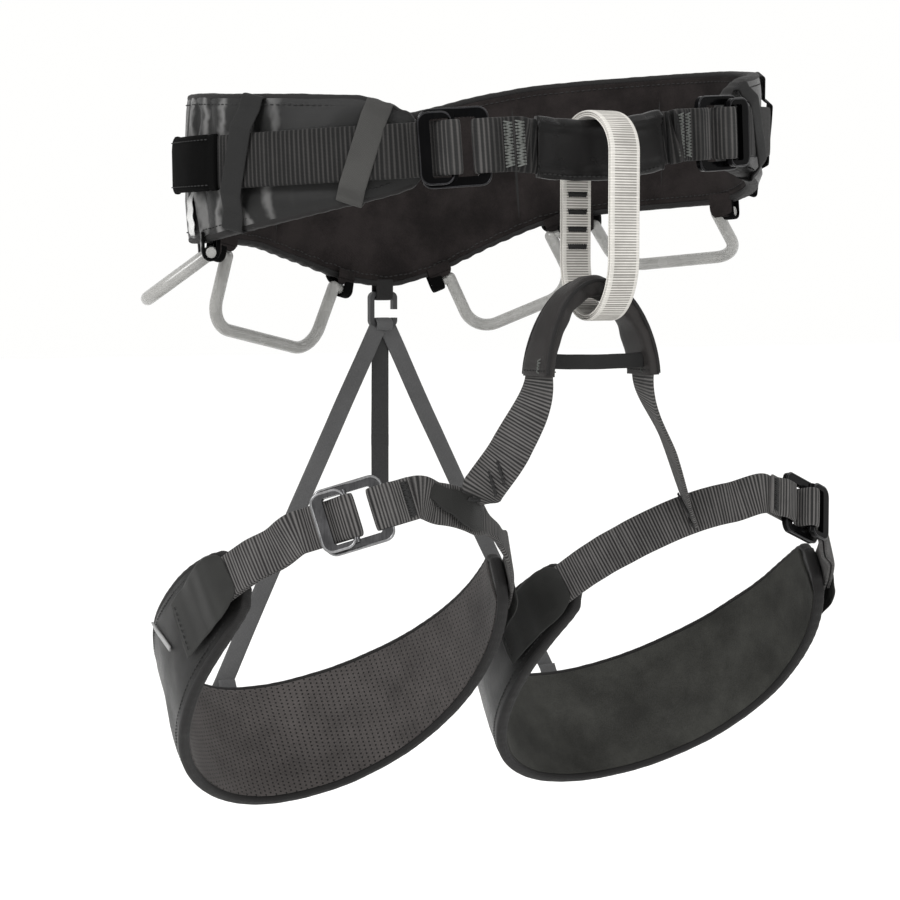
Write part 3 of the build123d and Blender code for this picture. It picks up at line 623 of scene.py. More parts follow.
def hip_gloss_and_painted_streaks(material):
    """Upright streaks where the belt's fabric turns over the right hip: painted highlights lighten its colour
    there, and its specular level rises in the same streaks.
    """
    n = Nodes(material)
    along, across = n.lay()
    x, y, _ = n.parts(n.position())
    hip = n.smooth(n.maths("MULTIPLY", x, -1.0), 0.132, 0.146, 0.0, 1.0)
    sway = n.maths("MULTIPLY_ADD", n.noise(45, 3, 0.6), 9.0, n.maths("MULTIPLY", across, 0.09))
    streak = n.maths("SINE", n.maths("MULTIPLY_ADD", along, 2 * pi / 14, sway))
    streak = n.maths("POWER", n.maths("MAXIMUM", streak, 0.0), 2.2)
    front_most = n.smooth(y, 0.005, 0.04, 0.85, 0.25)
    share = n.maths("MULTIPLY", n.maths("MULTIPLY", streak, hip), front_most)
    # Painted highlight: a pale grey is mixed into the fabric's colour along the streaks.
    mix = n.add("ShaderNodeMix", data_type="RGBA")
    n.link(share, mix.inputs["Factor"])
    n.link(n.colour(), mix.inputs[6])
    mix.inputs[7].default_value = (0.085, 0.084, 0.083, 1)
    n.link(mix.outputs[2], n.shader.inputs["Base Color"])
    n.link(n.maths("MULTIPLY_ADD", share, 0.5, 0.18), n.shader.inputs["Specular IOR Level"])


def paler_in_waist_buckles(material, centre):
    """The webbing is paler where it bends round the bars of the waist buckles."""
    n = Nodes(material)
    x = n.parts(n.position())[0]
    away = n.maths("ABSOLUTE", n.maths("SUBTRACT", n.maths("ABSOLUTE", x), centre))
    scale = n.add("ShaderNodeVectorMath", operation="SCALE")
    n.link(n.colour(), scale.inputs[0])
    n.link(n.smooth(away, 0.0085, 0.0145, 2.1, 1.0), scale.inputs["Scale"])
    n.link(scale.outputs[0], n.shader.inputs["Base Color"])


M = {
    "webbing": ribbed("webbing", (0.0255, 0.0245, 0.024), (0.0075,) * 3),
    "belay": ribbed("belay_webbing", (0.5, 0.485, 0.455), (0.21, 0.2, 0.185), 0.85, 0.2, 6, BELAY_PITCH, 2.2),
    "leg_webbing": ribbed("leg_webbing", (0.085, 0.082, 0.08), (0.015,) * 3, pitch=LEG_PITCH, sharp=2.2),
    "leg_cover": cloth("leg_cover", (0.0135, 0.0136, 0.0128), 0.5, 0.6, 0.2, 0.35, 0.13, 0.00008),
    "shell": cloth("belt_shell", (0.0062, 0.0062, 0.0061), 0.36, 0.5, 0.1, 0.3, 0.2, 0.00005),
    "lining": cloth("belt_lining", (0.012, 0.0100, 0.0098), 0.95, 0.9, 0.4, 0.85, 0.08, 0.00014, 0.3),
    "mesh": perforated("leg_mesh", (0.045, 0.0405, 0.039)),
    "mesh_plain": cloth("leg_lining_plain", (0.029, 0.029, 0.0265), 0.92, 0.8, 0.4, 0.5, 0.1, 0.00012, 0.25),
    "leg_shell": cloth("leg_shell", (0.0037, 0.0036, 0.0035), 0.4, 0.6, 0.15, 0.3, 0.12, 0.00006),
    "black": cloth("black_cover", (0.0016,) * 3, 0.85, 0.6, 0.2, 0.25, 0.03, 0.00008),
    "sleeve": cloth("sleeve", (0.0026, 0.0023, 0.0023), 0.30, 0.5, 0.12, 0.5, 0.15, 0.00006),
    "bridge": cloth("bridge_sleeve", (0.013, 0.0115, 0.011), 0.5, 0.5, 0.12, 0.3, 0.2, 0.00006),
    "binding": cloth("edge_binding", (0.011, 0.0105, 0.0105), 0.7, 0.9, 0.35, 0.2, 0.15, 0.0001),
    "elastic": cloth("elastic", (0.036, 0.0355, 0.034), 0.7, 1.0, 0.25, 0.2, 0.15, 0.0001),
    # Darker copies of the elastic: the first serves the bridge bar and, as painted shade, the rear keepers;
    # the second is painted shade on the left keepers.
    "elastic_dark": cloth("elastic_dark", (0.0115,) * 3, 0.7, 0.9, 0.3, 0.2, 0.12, 0.0001),
    "elastic_black": cloth("elastic_black", (0.004,) * 3, 0.7, 0.9, 0.3, 0.2, 0.12, 0.0001),
    "riser": cloth("riser_elastic", (0.078, 0.078, 0.079), 0.85, 0.9, 0.25, 0.1, 0.1, 0.0001),
    "riser_dark": cloth("riser_elastic_dark", (0.034,) * 3, 0.85, 0.9, 0.25, 0.1, 0.1, 0.0001),
    "silver": cloth("reflective_line", (0.2,) * 3, 0.35, 0.6, 0.1, 0.3, 0.5),
    # A pale glossy cloth for the strips on the hips: a painted highlight of light on a fold.
    "satin": cloth("painted_fold_highlight", (0.42, 0.42, 0.415), 0.3, 0.5, 0.1, 0.5, 0.6, 0.00008),
    "thread": cloth("thread_grey", (0.082, 0.086, 0.081), 0.8, 0.5, 0.25, 0.5, 0.1),
    "thread_dark": cloth("thread_dark", (0.020,) * 3, 0.8, 0.5, 0.25, 0.3, 0.1),
    "black_metal": metal("black_metal", (0.0015, 0.0015, 0.0017), 0.14, 0.0),
    # The two edge finishes are paler metal for the beads round the buckle plates: painted edge highlights.
    "black_edge": metal("black_edge", (0.016, 0.016, 0.017), 0.3, 1.0, 0.6),
    "leg_metal": metal("leg_metal", (0.06, 0.06, 0.062), 0.17, 1.0, 0.3),
    "leg_edge": metal("leg_edge", (0.15, 0.15, 0.153), 0.3, 1.0, 0.4),
    "dark_metal": metal("dark_metal", (0.003, 0.003, 0.0032), 0.16, 0.0),
    "gear": plastic("gear_plastic", (0.25, 0.248, 0.238), 0.24, 0.5),
    "hook": plastic("hook_plastic", (0.020, 0.020, 0.021), 0.42),
}


# ---------------------------------------------------------------- camera, light and floor

camera_target = Vector((-13.5, 7.8, -152.0)) * MM
camera_azimuth, camera_elevation, camera_distance = radians(-30), radians(4), 1.3
camera_back = Vector((
    sin(camera_azimuth) * cos(camera_elevation),
    -cos(camera_azimuth) * cos(camera_elevation),
    sin(camera_elevation),
))
camera_data = bpy.data.cameras.new("camera")
camera_data.sensor_width = 36.0
camera_data.lens = 102.4
camera_data.clip_start = 0.05
camera = bpy.data.objects.new("camera", camera_data)
camera.location = camera_target + camera_back * camera_distance
camera.rotation_mode = "QUATERNION"
camera.rotation_quaternion = (-camera_back).to_track_quat("-Z", "Y")
bpy.context.scene.collection.objects.link(camera)
bpy.context.scene.camera = camera

world = bpy.data.worlds.new("studio")
world.use_nodes = True
world.node_tree.nodes["Background"].inputs[0].default_value = (1.0, 0.998, 0.99, 1)
world.node_tree.nodes["Background"].inputs[1].default_value = 1.0
bpy.context.scene.world = world
bpy.context.scene.view_settings.view_transform = "Standard"


def softbox(name, place, size, power):
    """A square area light that faces the harness."""
    data = bpy.data.lights.new(name, "AREA")
    data.size, data.energy = size, power
    light = bpy.data.objects.new(name, data)
    light.location = place
    aim = Vector((0, 0, -0.15)) - light.location
    light.rotation_mode = "QUATERNION"
    light.rotation_quaternion = aim.to_track_quat("-Z", "Y")
    bpy.context.scene.collection.objects.link(light)


softbox("key", Vector((-1.35, -0.6, 0.95)), 0.5, 20)
softbox("front", Vector((-0.2, -1.7, 0.6)), 0.6, 7)
softbox("side", Vector((1.2, -0.3, 0.8)), 0.45, 3.5)

floor_mesh = bpy.data.meshes.new("floor")
floor_mesh.from_pydata([(-9, -9, 0), (9, -9, 0), (9, 9, 0), (-9, 9, 0)], [], [(0, 1, 2, 3)])
floor_material = new_material("floor", (0.95, 0.95, 0.945), 0.8)
floor_material.set(Specular_IOR_Level=0.1, Emission_Strength=0.12, Emission_Color=(1, 1, 1, 1))
floor_mesh.materials.append(floor_material.material)
studio_floor = bpy.data.objects.new("floor", floor_mesh)
studio_floor.location = (0, 0, cad_box[0].z - 0.085)
bpy.context.scene.collection.objects.link(studio_floor)


# ---------------------------------------------------------------- padded waist belt

HIP_ANGLE, HIP_HIGHLIGHT_ANGLE, BACK_ANGLE = 93, 95.5, 117
BACK_SEAMS = (0.3, 0.72)  # of the belt's height
LINING_SEAMS = (68, 112, 150, 210, 248, 292)
BELT_FIRST, BELT_LAST, BELT_STEPS = 33.8, 326.2, 380
belt_angles = [BELT_FIRST + (BELT_LAST - BELT_FIRST) * k / BELT_STEPS for k in range(BELT_STEPS + 1)]


def bell(value, wide):
    """A smooth bump, 1 high at 0."""
    return exp(-((value / wide) ** 2))


def belt_edges(angle):
    """Top and bottom edge of the belt, with its front ends rounded."""
    angle = around(angle)
    top, bottom = eased(BELT_EDGES, angle, 1, 3.0), eased(BELT_EDGES, angle, 2, 3.0)
    near_end = max(0.0, 1 - (angle - 33.6) / 2.6)
    middle, half = (top + bottom) / 2, (top - bottom) / 2
    half *= sqrt(max(0.0, 1 - 0.7 * near_end**2))
    return middle + half, middle - half


def belt_wrinkle(angle, up, face):
    """Unevenness of the belt's fabric: folds over the hips, seams at the back, a crease below the strap."""
    angle = angle if angle <= 180 else angle - 360
    small = 0.8 * noise.noise(Vector((angle / 9, up / 16, face)))
    if face < 0:
        return small
    top, bottom = belt_edges(angle)
    seams = sum(bell(up - bottom - (top - bottom) * share, 1.3) for share in BACK_SEAMS)
    quilt = -1.1 * seams / (1 + exp((BACK_ANGLE - abs(angle)) / 2.5))
    fold = abs(sin(radians(angle * 26) + up / 22 + 1.8 * small)) ** 0.8 - 0.65
    folds = 3.4 * fold * bell(abs(angle) - HIP_ANGLE, 8)
    strap = 1 / (1 + exp((abs(angle) - 84) / 3))
    crease = 1.1 * bell(up + 22, 4.5) - 0.8 * bell(up + 14.5, 1.6)
    return small + folds + strap * crease + quilt


def pad_section(top, bottom, inner, outer, edge, rows=15):
    """Section of a pad as (out, up, face) rows: crowned faces that pull in to a thinner edge."""
    middle = (inner + outer) / 2
    section = []
    for face, level in ((1, outer), (-1, inner)):
        for k in range(rows):
            v = face * sin(pi / 2 * (2 * k / (rows - 1) - 1))
            thin = abs(v) ** 5
            out = level + (middle + face * edge / 2 - level) * thin
            section.append((out, bottom + (top - bottom) * (v + 1) / 2, face))
    return section


def softness(up, top, bottom, reach=7):
    """How free a pad's face is: 0 at its edges and 1 past the reach."""
    return max(0.0, min(1.0, min(top - up, up - bottom) / reach))


def soft_sections(angles, edges, inset, layer, wrinkle):
    """A padded layer's sections, uneven away from its edges."""
    sections = []
    for angle in angles:
        top, bottom = edges(angle)
        top, bottom = top - inset, bottom + inset
        section = []
        for out, up, face in pad_section(top, bottom, *layer):
            section.append((out + softness(up, top, bottom) * wrinkle(angle, up, face), up, up))
        sections.append(section)
    return sections


def measured(places):
    """Places with each one's distance along, over straight steps."""
    run, distance = [], 0.0
    for n, place in enumerate(places):
        distance += (place.centre - places[n - 1].centre).length if n else 0
        run.append((place, distance))
    return run


def belt_pad():
    """The foam body of the belt in its outer fabric."""
    hip_gloss_and_painted_streaks(M["shell"])
    run = measured([waist(angle) for angle in belt_angles])
    sections = soft_sections(belt_angles, belt_edges, 0, (1.0, BELT_THICKNESS, 4.4), belt_wrinkle)
    nodes = ("waist_outer_shell", "waist_foam_core")
    pad = sweep("belt_pad", run, sections, "waist_belt", "shell", "belt_shell", nodes)


def belt_lining():
    """The brushed lining inside the belt, with upright panel seams."""
    angles = belt_angles[2:-2]
    sections = []
    for angle in angles:
        top, bottom = belt_edges(angle)
        top, bottom = top - 2.2, bottom + 2.2
        seam = max(bell(angle - at - 0.05 * k, 0.5) for k, at in enumerate(LINING_SEAMS))
        section = []
        for out, up, face in pad_section(top, bottom, 0.0, 1.6, 1.0):
            soft = softness(up, top, bottom, 8)
            dip = (1.5 * seam + belt_wrinkle(angle, up, -1)) * soft if face < 0 else 0
            section.append((out + dip + 0.9 * (1 - soft), up, up))
        sections.append(section)
    run = measured([waist(angle) for angle in angles])
    sweep("belt_lining", run, sections, "waist_belt", "lining", "belt_lining", ("waist_inner_lining",))


def edge_row(angles, edges, which, inset, place_at, out):
    """Places just inside a pad's top edge (which 0) or bottom edge (which 1)."""
    way = 1 - 2 * which
    return [place_at(angle).moved(out, edges(angle)[which] - way * inset) for angle in angles]


def bound_edge(name, angles, edges, inset, place_at, out, thickness, body, slot, nodes=()):
    """Binding tape folded over a pad's edge, as a flattened tube all round it."""
    places = edge_row(angles, edges, 0, inset, place_at, out)
    for place in edge_row(angles[::-1], edges, 1, inset, place_at, out):
        places.append(Place(place.centre, -place.along, place.outward))
    run = resample(places, 1.6, True)
    sections = []
    for _, distance in run:
        pucker = 0.18 * noise.noise(Vector((distance / 5, 1.7, 0)))
        rows = oval(1.9 + pucker, thickness, 16, 0.8, 0.7)
        sections.append([(out, up, copysign(up, out)) for out, up, _ in rows])
    sweep(name, run, sections, body, "binding", slot, nodes, True)


belt_pad()
belt_lining()
bound_edge("belt_binding", belt_angles[::4], belt_edges, 1.2, waist, BELT_THICKNESS / 2, 6.4, "waist_belt",
           "black_fabric", ("waist_edge_binding",))
for label, inset, out in (("outer", 4.6, BELT_THICKNESS - 0.6), ("inner", 4.8, 0.2)):
    for which, edge in enumerate(("top", "bottom")):
        row = edge_row(belt_angles[6:-6:6], belt_edges, which, inset, waist, out)
        stitches(f"belt_stitches_{label}_{edge}", row, "waist_belt", "thread_dark", "black_fabric")

for n, share in enumerate(BACK_SEAMS):
    row = []
    for angle in range(118, 243, 2):
        top, bottom = belt_edges(angle)
        row.append(waist(angle).moved(BELT_THICKNESS - 0.9, bottom + (top - bottom) * share))
    stitches(f"belt_back_seam_{n}", row, "waist_belt", "riser_dark", "black_fabric")


def highlight_strip_shape(share):
    """The pale strip on the hip, a painted highlight, narrows to its ends and ripples."""
    return 0.45 + 0.55 * sin(pi * share) ** 0.6, 1, 0.3 * sin(share * 19)


# A pale strip upright on each hip: a painted highlight where light falls on a fold of the belt.
for side, sign in SIDES.items():
    rows = ((-0.5, -33.5), (0.5, -29), (0.9, -22), (0.6, -16), (-0.6, -12.5))
    facing = waist(sign * HIP_HIGHLIGHT_ANGLE).moved(BELT_THICKNESS).upward(rows)
    tape(f"hip_highlight_strip_{side}", facing, 9.0, 0.9, "waist_belt", "satin", "belt_shell", (), 0.8, highlight_strip_shape,
         1.2, sign)

# ---------------------------------------------------------------- buckles and the webbing through them


class Profile:
    """Axes of a run of webbing seen from its edge: u along it and level out of its face."""

    def __init__(self, origin, u, n):
        self.origin, self.u, self.n = Vector(origin), Vector(u).normalized(), Vector(n).normalized()

    def place(self, u, level, du=1.0, dlevel=0.0):
        centre = self.origin + self.u * u + self.n * level
        return Place(centre, self.u * du + self.n * dlevel, self.n * du - self.u * dlevel)

    def path(self, points, radii):
        return [self.place(p.x, p.y, t.x, t.y) for p, t in rounded(points, radii)]


waist_buckle, leg_buckle = {}, {}
for side, sign in SIDES.items():
    place = waist(sign * BUCKLE_ANGLE)
    waist_buckle[side] = Profile(place.at(BUCKLE_LEVEL), place.along * sign, place.outward)
    place = leg(side, LEG_BUCKLE_ANGLE)
    leg_buckle[side] = Profile(place.at(WEB_THICKNESS / 2 + GAP), place.along, place.outward)

# Webbing through a buckle: threaded round the slider's bar, and sewn round the frame's rail
turn_at, crest = BAR_AT - TURN_RADIUS, BAR_LEVEL + TURN_RADIUS
THREADED = [
    (REACH, LOAD_LEVEL),
    (turn_at, LOAD_LEVEL),
    (turn_at, crest),
    (BAR_AT + 1.5, crest),
    (11.5, OVER_LEVEL),
    (19.0, OVER_LEVEL),
    (22.5, TAIL_LEVEL),
    (REACH, TAIL_LEVEL),
]
THREADED_RADII = [1.8, 2.6, 1.8, 2.2, 2.2, 2.2]
rail_at = -9.0 + GAP + WEB_THICKNESS / 2
SEWN = [
    (-REACH, TAIL_LEVEL),
    (-21.5, TAIL_LEVEL),
    (-16.5, OVER_LEVEL),
    (rail_at, OVER_LEVEL),
    (rail_at, LOAD_LEVEL),
    (-REACH, LOAD_LEVEL),
]
SEWN_RADII = [3.0, 3.0, 1.8, 1.8]


def waist_places(side, angles, out):
    """Places round the belt on one side, in the order given, a distance out."""
    return [waist(SIDES[side] * angle).moved(out) for angle in angles]


def flipped(places):
    """Places with their other faces out."""
    return [place.flipped() for place in places]


# ---------------------------------------------------------------- waist webbing, tails and keepers


def tail_end(share):
    """The folded end swells toward its stop and is rounded off there."""
    swell = 0.72 + 0.3 * min(1, share * 3)
    wide = 1.0
    if share > 0.86:
        round_off = sqrt(max(0.03, 1 - ((share - 0.86) / 0.14) ** 2))
        swell, wide = swell * round_off, 0.66 + 0.34 * round_off
    lip = 1 - 0.07 * bell(share - 0.1, 0.02) + 0.05 * bell(share - 0.84, 0.03)
    return wide * lip, swell * lip, 0


def keeper_path(side, top_angle, bottom_angle, longest):
    """An elastic keeper from the belt's bottom edge, over the webbing and to its top edge."""
    place = waist(SIDES[side] * (top_angle + bottom_angle) / 2)
    top, bottom = belt_edges(top_angle)[0], belt_edges(bottom_angle)[1]
    slant = WAIST_HALF_WIDTH * radians(top_angle - bottom_angle) / (top - bottom)
    band = Profile(place.centre, place.up + place.along * (SIDES[side] * slant), place.outward)
    stretch = sqrt(1 + slant**2)
    half = WAIST_WEB_WIDTH / 2 * stretch + 6 * abs(slant) + 1.2
    low, over = BELT_THICKNESS + 0.9, BUCKLE_LEVEL + WEB_THICKNESS + 1.2
    high, deep = top * stretch, bottom * stretch
    reach_up, reach_down = min(longest, 0.6 * (high - half)), min(longest, 0.6 * (-deep - half))
    points = [
        (deep + 2.5, 2.2),
        (deep, low - 0.1),
        (-half - reach_down, low + 0.6),
        (-half, over),
        (half, over),
        (half + reach_up, low + 0.6),
        (high, low - 0.1),
        (high - 2.5, 2.2),
    ]
    bend = min(3.5, longest / 2)
    return band.path(points, [1.5, bend, bend, bend, bend, 1.5])


# Keepers: angles of their top and bottom ends, and their elastic; the rear keepers' darker elastic is painted
# shade.
KEEPERS = {"front": (41.5, 48.5, "elastic"), "rear": (70.0, 76.0, "elastic_dark")}
TAIL_END_LEVEL = BUCKLE_LEVEL + 2.4
for side, sign in SIDES.items():
    strap = flipped(waist_places(side, range(118, 45, -12), WEB_LAYER))
    strap += waist_buckle[side].path(THREADED, THREADED_RADII)
    strap += waist_places(side, (46, 56, 67, 79, 82), UPPER_PLY)
    nodes = (f"waist_strap_{side}", f"waist_{side}_strap_threading", f"waist_tail_{side}")
    webbing(f"waist_webbing_{side}", strap, WAIST_WEB_WIDTH, "waist_belt", "webbing", "grey_webbing", nodes)

    end = waist_places(side, (79, 85, 91, 97, 104), TAIL_END_LEVEL)
    nodes = ("waist_tail_ends",) if side == "right" else ()
    tape(f"waist_tail_end_{side}", end, WAIST_WEB_WIDTH + 1.5, 4.4, "waist_belt", "black", "black_fabric",
         nodes, 1.2, tail_end, 0.35, sign)
    for edge, up in (("top", 10.6), ("bottom", -10.6)):
        row = [place.moved(2.3, up) for place in waist_places(side, (81, 91, 102), TAIL_END_LEVEL)]
        stitches(f"tail_end_stitches_{side}_{edge}", row, "waist_belt", "thread_dark", "black_fabric")

    for label, (top_angle, bottom_angle, elastic) in KEEPERS.items():
        path = keeper_path(side, top_angle, bottom_angle, 2.4 if (label, side) == ("rear", "left") else 9)
        # The left keepers take a near-black copy of the elastic: painted shade.
        elastic = "elastic_black" if side == "left" else elastic
        nodes = (f"waist_keepers_{side}",) if label == "front" else ()
        tape(f"keeper_{label}_{side}", path, 12.5, 1.1, "waist_belt", elastic, "keeper_elastic", nodes, 0.7,
             None, 0.25, (top_angle + bottom_angle) / 2)

# ---------------------------------------------------------------- tie-in point


def front(angle, out):
    """Place on the front webbing, which hangs below the belt's middle."""
    return waist(angle).moved(out, -FRONT_SAG * cos(radians(angle * 90 / 17)))


tie_in = [front(-14.4, UPPER_PLY)] + waist_buckle["right"].path(SEWN, SEWN_RADII)
tie_in += flipped([front(angle, WEB_LAYER) for angle in range(-15, 16, 5)])
tie_in += flipped(waist_buckle["left"].path(SEWN[::-1], SEWN_RADII[::-1]) + [front(14.4, UPPER_PLY)])
paler_in_waist_buckles(M["webbing"], abs(waist_buckle["right"].origin.x) * MM)
tie_in_nodes = ("tie_in_webbing", "waist_right_buckle_loop", "waist_left_buckle_loop")
webbing("tie_in_strap", tie_in, WAIST_WEB_WIDTH, "waist_belt", "webbing", "grey_webbing", tie_in_nodes)
for side in SIDES:
    for label, u in (("outer", -23.4), ("inner", -29.0)):
        tack = waist_buckle[side].place(u, TAIL_LEVEL + 1.2)
        bartack(f"bartack_{label}_{side}", tack, 4.4, 20.5, "waist_belt", "thread", "grey_webbing", 1.45, 0.8)


def sleeve_section(distance, total):
    """The sleeve over the tie-in webbing: a rolled top, soft creases along it and a sewn bottom edge."""
    rows = []
    end = min(distance, total - distance)
    for out, up, face in oval(14.2, 5.2, 44, 0.45, 0.6):
        if face > 0.02:
            sway = 1.5 * noise.noise(Vector((distance / 16, 3.1, 0)))
            out += 1.3 * bell(up - 11.0, 2.2)
            for crease, depth, wide in ((7.4, 1.5, 1.1), (2.2, 1.0, 1.5), (-3.8, 0.9, 1.3), (-9.4, 1.1, 0.9)):
                fade = 0.7 + 0.9 * noise.noise(Vector((distance / 18, crease, 1)))
                out -= depth * max(0.1, fade) * bell(up - crease - sway, wide)
            out += 0.5 * bell(end, 1.6)
        out += 0.3 * noise.noise(Vector((distance / 6, up / 5, 4)))
        rows.append((out, up, up))
    return rows


def sleeve():
    """The sleeve over the tie-in webbing and the stitches along its bottom edge."""
    run = resample([front(angle, WEB_LAYER) for angle in (-13, -9, -4.5, 0, 4.5, 9, 13)], 0.7)
    sections = [sleeve_section(distance, run[-1][1]) for _, distance in run]
    sweep("sleeve", run, sections, "waist_belt", "sleeve", "black_fabric", ("tie_in_sleeve",))
    row = [front(angle, WEB_LAYER + 2.5).moved(0, -12.4) for angle in (-12.4, -6, 0, 6, 12.4)]
    stitches("sleeve_stitches", row, "waist_belt", "thread_dark", "black_fabric", 2.6, 1.7, 0.32)


sleeve()

# ---------------------------------------------------------------- belay loop

BELAY_TOP, BELAY_BOTTOM = 13.2, -84.5
BELAY_HALF_DEPTH, BELAY_ROUND_TOP, BELAY_ROUND_BOTTOM = 22.0, 20.0, 29.5
BELAY_MIDDLE = -1.0


def belay_places(inset):
    """Closed run round the belay loop, drawn in from its outside."""
    depth = BELAY_HALF_DEPTH - inset
    places = []
    for middle, rise, turns in (
        (BELAY_TOP - BELAY_ROUND_TOP, BELAY_ROUND_TOP - inset, range(0, 181, 10)),
        (BELAY_BOTTOM + BELAY_ROUND_BOTTOM, BELAY_ROUND_BOTTOM - inset, range(180, 361, 10)),
    ):
        for turn in turns:
            c, s = cosine_sine(turn)
            centre = (BELAY_MIDDLE, TIE_IN_Y - depth * c, middle + rise * s)
            places.append(Place(centre, (0, depth * s, rise * c), (0, -c / depth, s / rise)))
    return places


def belay_fade(share):
    """Ribs show on the straight runs and fade over the rounds."""
    fade = 0.25 + 0.75 * min(1, 4.0 * abs(sin(2 * pi * (share + 0.04))) ** 3)
    return 1, 1, fade


for ply, (inset, width, depth) in enumerate(((0.5, 16.0, 0.2), (1.5, 15.3, 0.0), (2.5, 15.8, 0.2))):
    nodes = ("belay_loop",) if ply == 0 else ()
    webbing(f"belay_ply_{ply}", belay_places(inset), width, "belay_loop", "belay", "belay_webbing", nodes,
            1.04, BELAY_PITCH, depth, 0.28, True, belay_fade)
for n in range(5):
    centre = (BELAY_MIDDLE, TIE_IN_Y + BELAY_HALF_DEPTH - 3.15, -17 - 8.2 * n)
    tack = Place(centre, (0, 0, 1), (0, -1, 0))
    bartack(f"belay_bar_{n}", tack, 2.6, 10.0, "belay_loop", "thread_dark", "belay_webbing", 1.0)

# ---------------------------------------------------------------- leg bridge

ARCH_X, ARCH_HALF, ARCH_FOOT, ARCH_RISE, ARCH_POINT = -5.0, 29.0, -110.0, 41.3, 1.2
ARCH_WIDTH, ARCH_THICKNESS = 22.0, 5.5
BAR_HALF, BAR_Z = ARCH_HALF - 3.35, -103.0
LEG_JUNCTION = -22.0
TACK_LEVEL = 1.45


def arch_place(turn):
    """Place on the middle of the arch, 0 at its right foot and 180 at its left."""
    sine, cosine = abs(sin(radians(turn))), cos(radians(turn))
    centre = (ARCH_X - ARCH_HALF * cosine, TIE_IN_Y, ARCH_FOOT + ARCH_RISE * sine**ARCH_POINT)
    slope = ARCH_RISE * ARCH_POINT * sine ** (ARCH_POINT - 1) * cosine if 0 < turn < 180 else cosine
    along = (ARCH_HALF * sine, 0, slope)
    return Place(centre, along, (-along[2], 0, along[0]))


def arch_shape(share):
    """The sleeve is wide and thin at its feet, narrow and thick at its crown, with hems at the feet."""
    rise = sin(pi * share) ** 2
    hem = 0.12 if min(share, 1 - share) < 0.045 else 0
    pinch = 0.06 * sin(share * 55) * rise
    return 1 - 0.41 * rise + pinch, 1 + 0.8 * rise + hem + pinch, 0.35 * rise * sin(share * 40 + 1)


def bar_shape(share):
    """The bar is thicker where it is sewn to the arch."""
    return 1, 1 + 0.5 * bell(min(share, 1 - share), 0.05), 0


def v_leg_shape(share):
    """The webbing narrows where it goes under the leg loop's webbing."""
    return 1 - 0.2 * max(0, share * 5 - 4), 1, 1


arch_run = [arch_place(turn) for turn in range(0, 181, 10)]
bridge_nodes = ("leg_bridge_protector", "leg_bridge_webbing")
tape("bridge_sleeve", arch_run, ARCH_WIDTH, ARCH_THICKNESS, "leg_frame", "bridge", "black_fabric",
     bridge_nodes, 0.9, arch_shape, 0.7, 5.0)
for label, sign in (("front", -1), ("rear", 1)):
    piping = []
    for turn in range(2, 179, 8):
        place, rise = arch_place(turn), sin(radians(turn)) ** 2
        half, thick = ARCH_WIDTH / 2 * (1 - 0.41 * rise), ARCH_THICKNESS / 2 * (1 + 0.8 * rise)
        piping.append(place.moved(thick * 0.62, half * 0.96 * (1 if place.up.y * sign > 0 else -1)))
    tape(f"bridge_piping_{label}", piping, 1.7, 1.7, "leg_frame", "binding", "black_fabric", (), 1.4)
for label, turn, way in (("right", 5.5, 1), ("left", 174.5, -1)):
    place = arch_place(turn)
    for facing, face in (("out", 1), ("in", -1)):
        row = [Place(place.at(face * 3.15, up), place.up, place.outward * face) for up in (-9.5, 0, 9.5)]
        stitches(f"bridge_hem_{label}_{facing}", row, "leg_frame", "thread_dark", "black_fabric", 2.4, 1.6,
                 0.3)
    arm = arch_place(turn + 3.5 * way)
    tack = Place(arm.at(2.5 * way, -3.0), (0, -1, 0), arm.outward * way)
    bartack(f"bridge_tack_{label}", tack, 3.0, 6.0, "leg_frame", "thread", "black_fabric", 1.4, 0.9)

bar_run = []
for x in (-BAR_HALF, -14, 0, 14, BAR_HALF):
    centre = (ARCH_X + x, TIE_IN_Y - 4.8 - 0.5 * cos(x / 14), BAR_Z - 0.6 * cos(x / 17))
    bar_run.append(Place(centre, (1, 0, 0), (0, -1, 0)))
tape("bridge_bar", bar_run, 7.0, 1.6, "leg_frame", "elastic_dark", "black_fabric", ("leg_bridge_bar",), 0.8,
     bar_shape, 0.25, 8.0)

